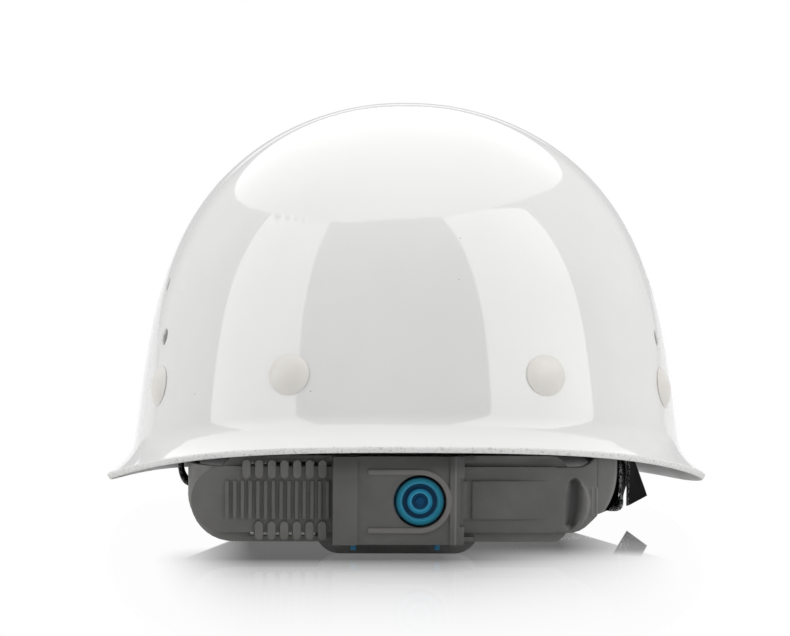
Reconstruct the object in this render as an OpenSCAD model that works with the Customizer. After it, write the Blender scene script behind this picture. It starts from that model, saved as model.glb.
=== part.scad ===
// Safety helmet with a glossy shell, a webbing cradle, a size adjuster at the nape and a chin strap.
// It lies on its peak and on the nape plate, rear towards -Y, peak towards +Y, wearer's right at +X.

/* [Shell] */
// Length of the shell over its brim, from back to front
shell_length = 275; // [260:1:290]
// Width of the shell over its brim
shell_width = 220; // [212:1:232]
// Height of the crown above the front edge of the brim
crown_height = 131; // [124:1:142]
// Thickness of the shell's wall
shell_wall = 2.5; // [2:0.1:3]
// Reach of the brim beyond the dome at the sides
brim_side = 10; // [8:0.5:13]
// Reach of the brim beyond the dome at the back
brim_rear = 9; // [8:1:14]
// Reach of the peak beyond the dome at the front
peak_reach = 32; // [24:1:40]
// Height over which the brim turns out
brim_rise = 12; // [9:1:15]
// Drop of the brim at the sides below its front edge
brim_dip = 6.5; // [3:0.1:8]
// Lift of the brim's edge at the back above its front edge
brim_lift = 2.4; // [0:0.2:4]
// Nose-down tilt of the helmet where it lies
lying_tilt = 7.4; // [6:0.1:8.6]

/* [Rivets and vents] */
// Diameter of a rivet cap
cap_d = 14.8; // [12:0.2:18]
// Height of a rivet cap's dome
cap_h = 2.6; // [2:0.1:3.4]
// Diameter of a rivet's shank
shank_d = 5; // [4:0.1:6]
// Height of the front and rear rivets above the brim
end_rivet_z = 28; // [26:1:33]
// Height of the side rivets above the brim
side_rivet_z = 25; // [23:1:28]
// Diameter of a vent hole
vent_d = 6; // [4:0.5:8]

/* [Cradle] */
// Width of the crown webbing
webbing_w = 18; // [14:1:19]
// Thickness of all webbing
webbing_t = 1.3; // [1:0.1:1.6]
// Room between the crown of the shell and the crown webbing
crown_room = 31; // [27:1:36]
// Distance at each side from the brim's edge to the headband
hoop_inset = 34; // [32:0.5:36]
// Offset of the headband to the wearer's left
hoop_shift = 4; // [2:0.5:4]
// Gap between the front of the headband and the inside of the dome
hoop_front_gap = 9; // [7:1:14]
// Height of the headband's plastic hoop
hoop_h = 26; // [22:1:30]
// Height of the hoop's lower edge above the floor
hoop_z = 20; // [18:1:22]
// Thickness of the headband's plastic
hoop_t = 2; // [1.6:0.1:2.4]
// Thickness of the brow pad
pad_t = 4; // [3:0.5:6]

/* [Nape adjuster] */
// Distance from the rear edge of the brim to the outer face of the size strap
nape_setback = 18.5; // [17:0.5:22]
// Height of the adjuster's middle above the floor
adjuster_z = 19.6; // [19:0.1:21]
// Height of the left nape band
band_h = 30.4; // [29:0.1:31.4]
// Height of the size strap
strap_h = 23.2; // [22:0.1:24]
// Clearance between the size strap's left end and the side of the headband
strap_end_gap = 1; // [0.5:0.5:3]
// Pitch of the rack's teeth
rack_pitch = 2.7; // [2.4:0.1:3]
// Height of the rack
rack_h = 13.4; // [12:0.1:14]
// Depth of the rack's teeth
rack_t = 1.2; // [0.8:0.1:1.3]
// Pitch of the retaining fingers
finger_pitch = 4.42; // [4.2:0.02:4.8]
// Width of the housing
housing_w = 45.8; // [44:0.2:50]
// Height of the housing
housing_h = 30; // [29:0.2:31]
// Depth of the housing from the size strap to its face
housing_depth = 7.4; // [7.2:0.1:9]
// Wall of the housing
housing_wall = 1.8; // [1.5:0.1:1.9]
// Extra depth of the housing's raised left part
housing_step = 1.5; // [1.4:0.1:2]
// Diameter of the release button
button_d = 17; // [15:0.5:17.5]
// Clearance round the release button
button_gap = 0.65; // [0.3:0.05:0.8]
// Width of the nape plate
plate_w = 57.8; // [52:0.2:64]
// Thickness of the nape plate
plate_t = 2.5; // [2:0.1:3]

/* [Chin strap] */
// Width of the chin strap
chin_w = 15; // [12:1:18]
// Height of the chin strap above the floor where it crosses
chin_z = 6; // [5.5:0.1:7]
// Length of the chin strap's buckle
buckle_l = 38; // [34:1:44]
// Width of the chin strap's buckle
buckle_w = 22; // [20:1:26]
// Thickness of the chin strap's buckle
buckle_t = 7; // [6:0.5:8]

/* [Hidden] */
$fn = 48;

// Clearance between pieces that slide on each other
slide_gap = 0.15;
// Clearance between pieces that are fixed face to face
seat_gap = 0.05;

// Colours
shell_white = [0.93, 0.93, 0.92];
cap_white = [0.90, 0.88, 0.85];
band_grey = [0.36, 0.36, 0.35];
latch_blue = [0.10, 0.42, 0.60];
web_black = [0.05, 0.05, 0.055];
web_grey = [0.55, 0.56, 0.57];

// Shell form: the laws of the dome's plan and profile and of the brim's flare
plan_power = 2.5;
profile_power = 3.68;
profile_root = 1.95;
profile_taper = 0.158;
dome_foot = 4;
peak_rise = brim_rise + 4;
flare_power = 1.85;
dome_half_w = shell_width / 2 - brim_side;
dome_half_l = (shell_length - brim_rear - peak_reach) / 2;
dome_y = (brim_rear - peak_reach) / 2;

// Shell mesh
round_steps = 64;
brim_rows = 5;
dome_rows = 13;
brim_share = 0.25;
probe = 0.004;

function signed_power(c, p) = sign(c) * pow(abs(c), p);

// Share of the foot's size that the dome has at the height z
function dome_scale(z) =
    let (u = max(0, min(1, (z - dome_foot) / (crown_height - dome_foot))))
    pow(1 - pow(u, profile_power), 1 / profile_root) * (1 - profile_taper * u);

function brim_reach(a) =
    brim_side
    + (peak_reach - brim_side) * pow(max(0, sin(a)), 3)
    + (brim_rear - brim_side) * pow(max(0, -sin(a)), 2);
function edge_z(a) = brim_lift * pow(max(0, -sin(a)), 3) - brim_dip * pow(cos(a), 4);
function turn_rise(a) = brim_rise + (peak_rise - brim_rise) * pow(max(0, sin(a)), 3);

// Outer face of the shell at plan angle a and height z
function shell_point(a, z) =
    let (
        s = dome_scale(z),
        t = max(0, 1 - (z - edge_z(a)) / turn_rise(a)),
        reach = brim_reach(a) * pow(t, flare_power),
        power = 2 / plan_power
    )
    [dome_half_w * signed_power(cos(a), power) * s + reach * cos(a),
     dome_y + dome_half_l * signed_power(sin(a), power) * s + reach * sin(a),
     z];

// Height at the share v of the way from the brim's edge to the crown
function row_z(a, v) =
    v < brim_share
        ? edge_z(a) + turn_rise(a) * pow(v / brim_share, 1.2)
        : edge_z(a) + turn_rise(a)
            + (crown_height - edge_z(a) - turn_rise(a)) * sin(90 * (v - brim_share) / (1 - brim_share));
function row_point(a, v) = shell_point(a, row_z(a, v));
function unit(p) = p / norm(p);

// Outward normal of the shell at plan angle a and row v
function row_normal(a, v) =
    let (
        low = max(0, v - probe),
        high = min(1 - probe, v + probe),
        round_way = row_point(a + 1, v) - row_point(a - 1, v),
        up_way = row_point(a, high) - row_point(a, low)
    )
    unit(cross(round_way, up_way));

// Outward normal at plan angle a and height z, for what is fixed to the shell
function shell_normal(a, z) =
    unit(cross(shell_point(a + 1, z) - shell_point(a - 1, z), shell_point(a, z + 1) - shell_point(a, z - 1)));

// Lying pose: tilted nose-down, lifted so that the brim's lowest point meets the floor, centred in plan
function tilted(p) =
    [p.x,
     p.y * cos(lying_tilt) + p.z * sin(lying_tilt),
     -p.y * sin(lying_tilt) + p.z * cos(lying_tilt)];
edge_outside = [for (i = [0:round_steps - 1]) tilted(row_point(360 * i / round_steps, 0))];
edge_inside = [for (i = [0:round_steps - 1])
    let (a = 360 * i / round_steps) tilted(row_point(a, 0) - shell_wall * row_normal(a, 0))];
lie_z = -min([for (p = concat(edge_outside, edge_inside)) p.z]);
edge_back = min([for (p = edge_outside) p.y]);
edge_front = max([for (p = edge_outside) p.y]);
lie_y = -(edge_back + edge_front) / 2;
function laid(p) = tilted(p) + [0, lie_y, lie_z];
module laid_down() {
    translate([0, lie_y, lie_z])
        rotate([-lying_tilt, 0, 0])
            children();
}

// Plan angles of the rivets and the vents
rear_rivet_a = 67.5;
side_rivet_a = 24;
front_rivet_a = 65;
vent_places = [[-22.6, 42.7], [-14.3, 62.1]];
rivet_places = [
    [front_rivet_a, end_rivet_z], [180 - front_rivet_a, end_rivet_z],
    [-side_rivet_a, side_rivet_z], [180 + side_rivet_a, side_rivet_z],
    [-rear_rivet_a, end_rivet_z], [180 + rear_rivet_a, end_rivet_z]];

// Puts its children on the shell's outer face, local +Z outward and local +X down the wall
module on_shell(a, z) {
    n = shell_normal(a, z);
    translate(shell_point(a, z))
        rotate([0, acos(n.z), atan2(n.y, n.x)])
            children();
}

module shell() {
    rows = brim_rows + dome_rows;
    shares = [for (j = [0:rows - 1])
        j <= brim_rows
            ? brim_share * j / brim_rows
            : brim_share + (1 - brim_share) * (j - brim_rows) / dome_rows];
    outer = [for (v = shares) for (i = [0:round_steps - 1]) row_point(360 * i / round_steps, v)];
    inner = [for (v = shares) for (i = [0:round_steps - 1])
        let (a = 360 * i / round_steps) row_point(a, v) - shell_wall * row_normal(a, v)];
    crown = [0, dome_y, crown_height];
    points = concat(outer, inner, [crown, crown - [0, 0, shell_wall]]);
    count = rows * round_steps;
    top_out = 2 * count;
    top_in = top_out + 1;
    outer_faces = [for (j = [0:rows - 2]) for (i = [0:round_steps - 1])
        let (k = (i + 1) % round_steps, a = j * round_steps + i, b = j * round_steps + k,
             c = a + round_steps, d = b + round_steps)
        each [[a, c, b], [b, c, d]]];
    inner_faces = [for (f = outer_faces) [f[0] + count, f[2] + count, f[1] + count]];
    last = (rows - 1) * round_steps;
    caps = [for (i = [0:round_steps - 1])
        let (k = (i + 1) % round_steps)
        each [[last + i, top_out, last + k], [count + last + i, count + last + k, top_in]]];
    rim = [for (i = [0:round_steps - 1])
        let (k = (i + 1) % round_steps)
        each [[i, k, count + i], [k, count + k, count + i]]];
    color(shell_white)
        laid_down()
            difference() {
                polyhedron(points = points, faces = concat(outer_faces, inner_faces, caps, rim));
                for (p = rivet_places)
                    on_shell(p[0], p[1])
                        cylinder(d = shank_d + 2 * slide_gap, h = 6 * shell_wall, center = true);
                for (p = vent_places, side = [0, 1])
                    on_shell(side == 0 ? p[0] : 180 - p[0], p[1])
                        cylinder(d = vent_d, h = 6 * shell_wall, center = true);
            }
}

// Depth from the shell's outer face to the anchor's plate, which stays clear of the curved wall
anchor_gap = 2.0;
anchor_t = 3;
anchor_w = webbing_w + 6;
anchor_l = 30;
anchor_in = shell_wall + anchor_gap;
// Length of webbing inside an anchor
strap_bite = 3;
strap_in = anchor_in + anchor_t / 2;
shank_l = anchor_in + anchor_t - 0.6;
cap_r = (cap_d * cap_d / 4 + cap_h * cap_h) / (2 * cap_h);

module rivet_cap() {
    intersection() {
        translate([0, 0, cap_h - cap_r])
            sphere(r = cap_r, $fn = 64);
        cylinder(d = cap_d, h = cap_h + 1);
    }
    translate([0, 0, -shank_l])
        cylinder(d = shank_d, h = shank_l + 0.5);
}

module rivet_caps() {
    color(cap_white)
        laid_down()
            for (p = rivet_places)
                on_shell(p[0], p[1])
                    translate([0, 0, seat_gap])
                        rivet_cap();
}

// Anchor behind each rivet, moulded round the end of a crown strap
module strap_anchor() {
    difference() {
        union() {
            translate([-anchor_l / 2, -anchor_w / 2, -anchor_in - anchor_t])
                cube([anchor_l, anchor_w, anchor_t]);
            translate([0, 0, -anchor_in - 0.5])
                cylinder(d = shank_d + 5, h = anchor_gap + 0.1);
        }
        translate([0, 0, -shank_l - 1])
            cylinder(d = shank_d + 2 * seat_gap, h = shank_l + 2);
    }
}

module strap_anchors() {
    color(band_grey)
        laid_down()
            for (p = rivet_places)
                on_shell(p[0], p[1])
                    strap_anchor();
}

// Point inside an anchor where a crown strap's end lies
function anchor_grip(p) =
    let (
        n = shell_normal(p[0], p[1]),
        down = [n.x * n.z, n.y * n.z, -(n.x * n.x + n.y * n.y)] / norm([n.x, n.y])
    )
    shell_point(p[0], p[1]) - strap_in * n - (anchor_l / 2 - strap_bite) * down;

// One crown strap: a band of webbing that rises from one anchor and comes down to the other
strap_steps = 28;
module crown_strap(p, q, drop, bow) {
    a = anchor_grip(p);
    b = anchor_grip(q);
    half = norm([b.x - a.x, b.y - a.y]) / 2;
    top = crown_height - shell_wall - crown_room - drop;
    foot = min(a.z, b.z);
    lean = (b.z - a.z) / (2 * half);
    angles = [for (i = [0:strap_steps]) 180 - 180 * i / strap_steps];
    function curve(w, grow) =
        let (c = signed_power(cos(w), 2 / bow), s = pow(sin(w), 2 / bow))
        [(half + grow) * c, (a.z + b.z) / 2 + lean * half * c * (1 - s) + (top + grow - foot) * s];
    outline = concat([for (w = angles) curve(w, 0)], [for (i = [strap_steps:-1:0]) curve(angles[i], -webbing_t)]);
    translate([(a.x + b.x) / 2, (a.y + b.y) / 2, 0])
        rotate([0, 0, atan2(b.y - a.y, b.x - a.x)])
            rotate([90, 0, 0])
                translate([0, 0, -webbing_w / 2])
                    linear_extrude(height = webbing_w)
                        polygon(outline);
}
strap_layer = webbing_t + 0.25;
// How full the straps' arches are: 2 is an ellipse, less is tauter
long_bow = 2.2;
side_bow = 1.5;
module crown_strap_left_front() {
    color(web_grey)
        laid_down()
            crown_strap(rivet_places[1], rivet_places[4], 2 * strap_layer, long_bow);
}
module crown_strap_right_front() {
    color(web_grey)
        laid_down()
            crown_strap(rivet_places[0], rivet_places[5], strap_layer, long_bow);
}
module crown_strap_side() {
    color(web_grey)
        laid_down()
            crown_strap(rivet_places[3], rivet_places[2], -1.5 * strap_layer, side_bow);
}

// Headband in the lying pose, where it is level: centre, side faces and depth faces
hoop_x = -hoop_shift;
band_out = shell_width / 2 - hoop_inset;
hoop_out = band_out - hoop_t - slide_gap;
corner_r = 18;
dome_front_y = laid([0, dome_y + dome_half_l, end_rivet_z]).y;
hoop_front_y = dome_front_y - shell_wall - hoop_front_gap;
strap_y = edge_back + lie_y + nape_setback;
strap_t = 2;
band_y = strap_y + strap_t + slide_gap;
band_t = 2;
plate_y = band_y + band_t + seat_gap;
hoop_mid_y = -12;
hoop_power = 2.25;
// Overlap of the front hoop's arms with the nape bands
join_y = laid(shell_point(-side_rivet_a, side_rivet_z)).y - 6;
join_half = 11;
corner_y = strap_y + corner_r;

// Plan outline of the hoop at the inset d from its outer face, from the right arm round to the left
hoop_steps = 36;
function hoop_curve(d, from, to) = [for (i = [0:hoop_steps])
    let (w = from + (to - from) * i / hoop_steps, power = 2 / hoop_power)
    [hoop_x + (hoop_out - d) * signed_power(cos(w), power),
     hoop_mid_y + (hoop_front_y - hoop_mid_y - d) * signed_power(sin(w), power)]];
module hoop_ring(inset, t, from, to, arm_end) {
    outer = hoop_curve(inset, from, to);
    inner = hoop_curve(inset + t, to, from);
    right_arm = from == 0 ? [[hoop_x + hoop_out - inset - t, arm_end], [hoop_x + hoop_out - inset, arm_end]] : [];
    left_arm = to == 180 ? [[hoop_x - hoop_out + inset, arm_end], [hoop_x - hoop_out + inset + t, arm_end]] : [];
    polygon(concat(outer, left_arm, inner, right_arm));
}

stud_d = 6;
stud_head = 9;
stud_head_t = 1.2;
stud_z = hoop_z + hoop_h / 2;
module stud_bores(side, extra) {
    for (y = [-1, 1])
        translate([hoop_x + side * band_out, join_y + y * join_half / 2, stud_z])
            rotate([0, 90, 0])
                cylinder(d = stud_d + extra, h = 6 * hoop_t, center = true);
}

module front_hoop() {
    color(band_grey)
        difference() {
            translate([0, 0, hoop_z])
                linear_extrude(height = hoop_h)
                    hoop_ring(0, hoop_t, 0, 180, join_y - join_half);
            stud_bores(1, 2 * seat_gap);
            stud_bores(-1, 2 * seat_gap);
            chin_stud_pins(2 * seat_gap);
        }
}

// Brow pad on the inside of the front of the hoop
pad_over = 3;
module brow_pad() {
    color(web_black)
        translate([0, 0, hoop_z - pad_over])
            linear_extrude(height = hoop_h + 2 * pad_over)
                hoop_ring(hoop_t + 0.3, pad_t, 22, 158, 0);
}

// Side view of the nape bands: height of the lower and upper edges along the arms
arm_low = hoop_z + 0.5;
arm_high = hoop_z + hoop_h - 1;
band_low = adjuster_z - band_h / 2;
band_high = adjuster_z + band_h / 2;
module arm_side_view(low, high) {
    rise = arm_low - low;
    polygon([
        [strap_y - 20, low], [strap_y + 2, low], [strap_y + 4.5, low + 0.14 * rise],
        [strap_y + 8.5, low + 0.38 * rise], [strap_y + 12.5, low + 0.65 * rise],
        [strap_y + 17, low + 0.87 * rise], [strap_y + 24, low + rise],
        [join_y + join_half + 1, arm_low], [join_y + join_half + 1, arm_high],
        [strap_y + 50, arm_high], [strap_y + 27, high], [band_y + band_t + 0.2, high],
        [band_y + band_t + 0.2, band_high], [strap_y - 20, band_high]]);
}
module arm_side_cut(low, high, half) {
    translate([-half, 0, 0])
        rotate([90, 0, 90])
            linear_extrude(height = 2 * half)
                arm_side_view(low, high);
}

corner_steps = 10;
// Plan of a band that runs flat, turns the nape corner and goes forward, side is 1 right or -1 left
function turn(side, bend_r, r, from, to) = [for (i = [0:corner_steps])
    let (w = from + (to - from) * i / corner_steps)
    [hoop_x + side * (band_out - bend_r + r * sin(w)), corner_y - r * cos(w)]];

// Place of the release button and of the housing round it
button_x = 0.6;
button_z = adjuster_z + 0.4;
button_hole = button_d / 2 + button_gap;
button_to_end = 15.5;
housing_x = button_x + button_to_end - housing_w;
housing_face = strap_y - housing_depth;

// Retaining fingers of the left band, which hold the size strap's edges
finger_w = 2.8;
finger_l = 6.4;
finger_t = 1.3;
finger_over = 4;
finger_z = strap_h / 2 - finger_over;
finger_x = housing_x - 3.5;
finger_room = finger_x - (hoop_x - band_out) - 15.5;
finger_count = floor(finger_room / finger_pitch);
module finger(side, place) {
    translate([finger_x - place * finger_pitch, 0, adjuster_z])
        mirror([0, 0, side > 0 ? 0 : 1])
            translate([0, strap_y - slide_gap, finger_z]) {
                rotate([90, 0, 0])
                    linear_extrude(height = finger_t) {
                        translate([0, finger_w / 2])
                            circle(d = finger_w);
                        translate([-finger_w / 2, finger_w / 2])
                            square([finger_w, finger_l - finger_w]);
                        translate([0, finger_l - finger_w / 2])
                            circle(d = finger_w);
                    }
                translate([-finger_w / 2, -0.01, finger_over + slide_gap + 0.15])
                    cube([finger_w, strap_t + 2 * slide_gap + 0.1, finger_l - finger_over - finger_w / 2]);
            }
}

// Front view of the left band: its top drops where it passes below the brim
top_drop = band_h / 2 - strap_h / 2 + 0.4;
module left_top_cut() {
    rotate([90, 0, 0])
        linear_extrude(height = 400, center = true)
            polygon([[200, 0], [200, 100], [finger_x - finger_pitch * finger_count, 100],
                [finger_x - finger_pitch * finger_count, band_high],
                [finger_x - finger_pitch * (finger_count + 1), band_high - top_drop],
                [hoop_x - band_out + band_t + 2, band_high - top_drop],
                [hoop_x - band_out + band_t + 2, 100], [-200, 100], [-200, 0]]);
}

band_end = 53;
window_h = 1.1;
window_w = finger_pitch - finger_w - 0.4;
module left_nape_band() {
    flat_y = band_y;
    r_out = corner_y - band_y;
    outer = turn(-1, r_out, r_out, 0, 90);
    inner = turn(-1, r_out, r_out - band_t, 90, 0);
    front = join_y + join_half;
    side_x = hoop_x - band_out;
    color(band_grey) {
        difference() {
            union() {
                intersection() {
                    linear_extrude(height = 100)
                        polygon(concat(
                            [[band_end, flat_y]], outer,
                            [[side_x, front], [side_x + band_t, front]], inner,
                            [[band_end, flat_y + band_t]]));
                    arm_side_cut(band_low, band_high - top_drop, 200);
                    left_top_cut();
                    union() {
                        translate([-200, -200, 0])
                            cube([200 + band_end - 6, 400, 100]);
                        for (z = [band_low + 6, band_high - 6])
                            translate([band_end - 6, 0, z])
                                rotate([90, 0, 0])
                                    cylinder(r = 6, h = 400, center = true);
                        translate([-200, -200, band_low + 6])
                            cube([200 + band_end, 400, band_h - 12]);
                    }
                }
                for (side = [-1, 1], place = [0:finger_count - 1])
                    if (side > 0 || place < finger_count - 1)
                        finger(side, place);
            }
            for (side = [-1, 1], place = [0:finger_count - 2])
                translate([finger_x - (place + 0.5) * finger_pitch - window_w / 2, flat_y - 1,
                        adjuster_z + side * (strap_h / 2 + window_h / 2 + 0.3) - window_h / 2])
                    cube([window_w, band_t + 2, window_h]);
            stud_bores(-1, 2 * seat_gap);
        }
    }
}

// Size strap: rack to the left, smooth spine to the right, then the thumb grip at the start of the bend
grip_turn = 31;
strap_left = band_out - hoop_x - strap_end_gap;
// Place of the pawl's first tooth, which lies between two teeth of the rack, and the teeth on its two sides
pawl_x = housing_x + 5.1;
rack_end_gap = 11;
teeth_left = floor((strap_left + pawl_x - rack_end_gap) / rack_pitch);
teeth_right = 4;
rack_teeth = teeth_left + teeth_right;
rack_x = pawl_x - teeth_left * rack_pitch;
rack_end = rack_x + rack_teeth * rack_pitch;
spine_end = 46;
spine_groove = 17.2;
tooth_share = 0.62;
// Scoop, lip and ribs of the thumb grip, whose lip and ribs stand at these angles round the bend
lip_turn = 16.5;
rib_turns = [22, 28];
scoop_r = 5.5;
scoop_h = 20;
scoop_depth = 1.2;
scoop_to_lip = 4.4;
lip_r = 1.7;
lip_h = 19;
rib_r = 0.8;
rib_h = 11.2;
// Point of the size strap's outer face at the angle w round its bend
function bend_point(w) = [hoop_x + band_out - corner_r + corner_r * sin(w), corner_y - corner_r * cos(w)];
module size_strap() {
    outer = turn(1, corner_r, corner_r, 0, grip_turn);
    inner = turn(1, corner_r, corner_r - strap_t, grip_turn, 0);
    end_r = strap_h / 2;
    grip_x = outer[corner_steps].x;
    color(band_grey) {
        difference() {
            intersection() {
                translate([0, 0, adjuster_z - strap_h / 2])
                    linear_extrude(height = strap_h)
                        polygon(concat([[-strap_left, strap_y]], outer, inner, [[-strap_left, strap_y + strap_t]]));
                translate([0, strap_y + 20, adjuster_z])
                    rotate([90, 0, 0])
                        linear_extrude(height = 60) {
                            translate([end_r - strap_left, 0])
                                circle(r = end_r, $fn = 72);
                            translate([end_r - strap_left, -end_r])
                                square([strap_left - end_r + grip_x - end_r, 2 * end_r]);
                            translate([grip_x - end_r - 4, end_r - 10.5])
                                square([end_r + 8, 10]);
                            translate([grip_x - end_r, 0])
                                circle(r = end_r, $fn = 72);
                            translate([grip_x - end_r - 4, -end_r / 2])
                                square([end_r + 3, end_r]);
                        }
            }
            translate([bend_point(lip_turn).x - scoop_to_lip, strap_y + scoop_depth - scoop_r, adjuster_z - scoop_h / 2])
                cylinder(r = scoop_r, h = scoop_h);
        }
        for (i = [0:rack_teeth - 1])
            translate([rack_x + (i + (1 - tooth_share) / 2) * rack_pitch, strap_y, adjuster_z - rack_h / 2])
                linear_extrude(height = rack_h)
                    polygon([[0, 0.01], [0.25, -rack_t], [tooth_share * rack_pitch - 0.25, -rack_t],
                        [tooth_share * rack_pitch, 0.01]]);
        difference() {
            translate([rack_end, strap_y, adjuster_z - rack_h / 2])
                linear_extrude(height = rack_h)
                    polygon([[0, 0.01], [0, -rack_t], [spine_end - rack_end - 14, -rack_t],
                        [spine_end - rack_end, 0.01]]);
            translate([spine_groove, strap_y - rack_t - 0.01, adjuster_z - rack_h / 2 - 1])
                cube([2, rack_t - 0.3, rack_h + 2]);
        }
        for (s = [-1, 1])
            translate(concat(bend_point(lip_turn), [adjuster_z + s * (lip_h / 2 - lip_r)]))
                sphere(r = lip_r);
        translate(concat(bend_point(lip_turn), [adjuster_z - lip_h / 2 + lip_r]))
            cylinder(r = lip_r, h = lip_h - 2 * lip_r);
        for (w = rib_turns)
            translate(concat(bend_point(w), [adjuster_z - rib_h / 2]))
                cylinder(r = rib_r, h = rib_h);
    }
}

// Flexing stretch of the strap from the thumb grip round the corner to the front hoop
module right_side_arm() {
    r_out = corner_r;
    outer = turn(1, r_out, r_out, grip_turn + 0.6, 90);
    inner = turn(1, r_out, r_out - strap_t, 90, grip_turn + 0.6);
    front = join_y + join_half;
    side_x = hoop_x + band_out;
    color(band_grey)
        difference() {
            intersection() {
                linear_extrude(height = 100)
                    polygon(concat(outer, [[side_x, front], [side_x - strap_t, front]], inner));
                arm_side_cut(adjuster_z - strap_h / 2 + 6, adjuster_z + strap_h / 2 - 0.6, 200);
            }
            stud_bores(1, 2 * seat_gap);
        }
}

// Studs that join the nape bands to the hoop's arms
module band_studs() {
    color(band_grey)
        for (side = [-1, 1], y = [-1, 1])
            translate([hoop_x + side * (band_out + stud_head_t), join_y + y * join_half / 2, stud_z])
                rotate([0, -90 * side, 0]) {
                    cylinder(d = stud_d, h = 2 * hoop_t + slide_gap + stud_head_t);
                    cylinder(d = stud_head, h = stud_head_t - seat_gap);
                }
}

// Housing of the size adjuster
cavity_half = strap_h / 2 + 0.6;
step_w = 8.5;
ridge_w = 1.9;
ridge_r = 11.2;
ridge_t = 0.8;
peg_d = 2.1;
peg_places = [housing_x + 7.4, button_x + 6.3];
peg_y = strap_y - 2.8;
module housing_block(x, w, front) {
    translate([x, front, adjuster_z - housing_h / 2 + 0.1])
        cube([w, band_y - seat_gap - front, housing_h]);
}
module adjuster_housing() {
    right = housing_x + housing_w;
    color(band_grey)
        difference() {
            union() {
                housing_block(housing_x, housing_w, housing_face);
                housing_block(housing_x, step_w, housing_face - housing_step);
                housing_block(right - 5, 2.2, housing_face - ridge_t);
                for (z = [-1, 1])
                    translate([button_x - 18, housing_face - ridge_t, button_z + z * (ridge_r - ridge_w / 2) - ridge_w / 2])
                        cube([18, ridge_t + 0.5, ridge_w]);
                translate([button_x, housing_face - ridge_t, button_z])
                    rotate([-90, 0, 0])
                        difference() {
                            cylinder(r = ridge_r, h = ridge_t + 0.5, $fn = 96);
                            translate([0, 0, -1])
                                cylinder(r = ridge_r - ridge_w, h = ridge_t + 3, $fn = 96);
                            translate([-2 * ridge_r, -ridge_r, -1])
                                cube([2 * ridge_r, 2 * ridge_r, ridge_t + 3]);
                        }
                for (z = [-1, 1])
                    translate([right - 0.1, strap_y - 1, adjuster_z + z * (housing_h / 2 - 1.2) - 0.8])
                        cube([3.9, band_y - seat_gap - strap_y + 1, 1.6]);
            }
            translate([housing_x - 1, strap_y - slide_gap, adjuster_z - strap_h / 2 - 0.25])
                cube([housing_w + 2, 10, strap_h + 0.5]);
            translate([housing_x - 1, strap_y - rack_t - 0.25, adjuster_z - rack_h / 2 - 0.3])
                cube([housing_w + 2, 10, rack_h + 0.6]);
            translate([housing_x + housing_wall, housing_face + housing_wall, adjuster_z - cavity_half])
                cube([housing_w - 2 * housing_wall, housing_depth, 2 * cavity_half]);
            translate([housing_x + housing_wall, housing_face + housing_wall - housing_step, adjuster_z - cavity_half])
                cube([step_w - housing_wall, housing_depth, 2 * cavity_half]);
            translate([right - 1.5, housing_face - 5, adjuster_z - 8.6])
                cube([3, housing_depth + 3, 17.2]);
            translate([button_x, housing_face - 3, button_z])
                rotate([-90, 0, 0])
                    cylinder(r = button_hole, h = housing_wall + 3.2, $fn = 96);
            for (x = peg_places)
                translate([x, peg_y, 0])
                    cylinder(d = peg_d + 0.2, h = 60);
        }
}

// Plate behind the housing, whose lower lip the helmet lies on
plate_corner = 9;
plate_top = adjuster_z + 13;
module nape_plate() {
    mid = housing_x + housing_w / 2;
    color(band_grey)
        translate([mid, plate_y + plate_t, 0])
            rotate([90, 0, 0])
                linear_extrude(height = plate_t)
                    intersection() {
                        translate([-plate_w / 2, 0])
                            square([plate_w, plate_top]);
                        union() {
                            translate([-plate_w / 2 + plate_corner, 0])
                                square([plate_w - 2 * plate_corner, plate_top]);
                            translate([-plate_w / 2, plate_corner])
                                square([plate_w, plate_top]);
                            for (s = [-1, 1])
                                translate([s * (plate_w / 2 - plate_corner), plate_corner])
                                    circle(r = plate_corner);
                        }
                    }
}

// Latch: the carrier is fixed in the housing, the pawl lever rocks on a pin through its rails
rail_t = 1.5;
rail_front = housing_face + housing_wall + 0.1;
rail_back = strap_y - slide_gap - 0.2;
pivot_x = housing_x + 14.2;
pivot_y = strap_y - 3.7;
pin_d = 1.8;
rail_z = cavity_half - 0.1 - rail_t;
post_x = button_x + button_hole + 0.45;
post_w = 1.6;
rail_x = housing_x + housing_wall + 0.3;
module latch_carrier() {
    color(latch_blue)
        difference() {
            union() {
                for (z = [adjuster_z - rail_z - rail_t, adjuster_z + rail_z])
                    translate([rail_x, rail_front, z])
                        cube([post_x + post_w - rail_x, rail_back - rail_front, rail_t]);
                translate([post_x, rail_front, adjuster_z - rail_z - 0.1])
                    cube([post_w, strap_y - rack_t - 0.6 - rail_front, 2 * rail_z + 0.2]);
                for (x = peg_places) {
                    translate([x, peg_y, adjuster_z - rail_z - rail_t - 5.2])
                        cylinder(d = peg_d, h = 5.3);
                    translate([x, peg_y, adjuster_z + rail_z + rail_t - 0.1])
                        cylinder(d = peg_d, h = 3);
                }
            }
            translate([pivot_x, pivot_y, 0])
                cylinder(d = pin_d + 2 * seat_gap, h = 60);
            translate([button_x, rail_front - 1, button_z])
                rotate([-90, 0, 0])
                    cylinder(r = button_hole + 1.6, h = 20);
        }
}

module pawl_pin() {
    color(web_grey)
        translate([pivot_x, pivot_y, adjuster_z - rail_z - rail_t + 0.1])
            cylinder(d = pin_d, h = 2 * (rail_z + rail_t) - 0.2);
}

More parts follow.
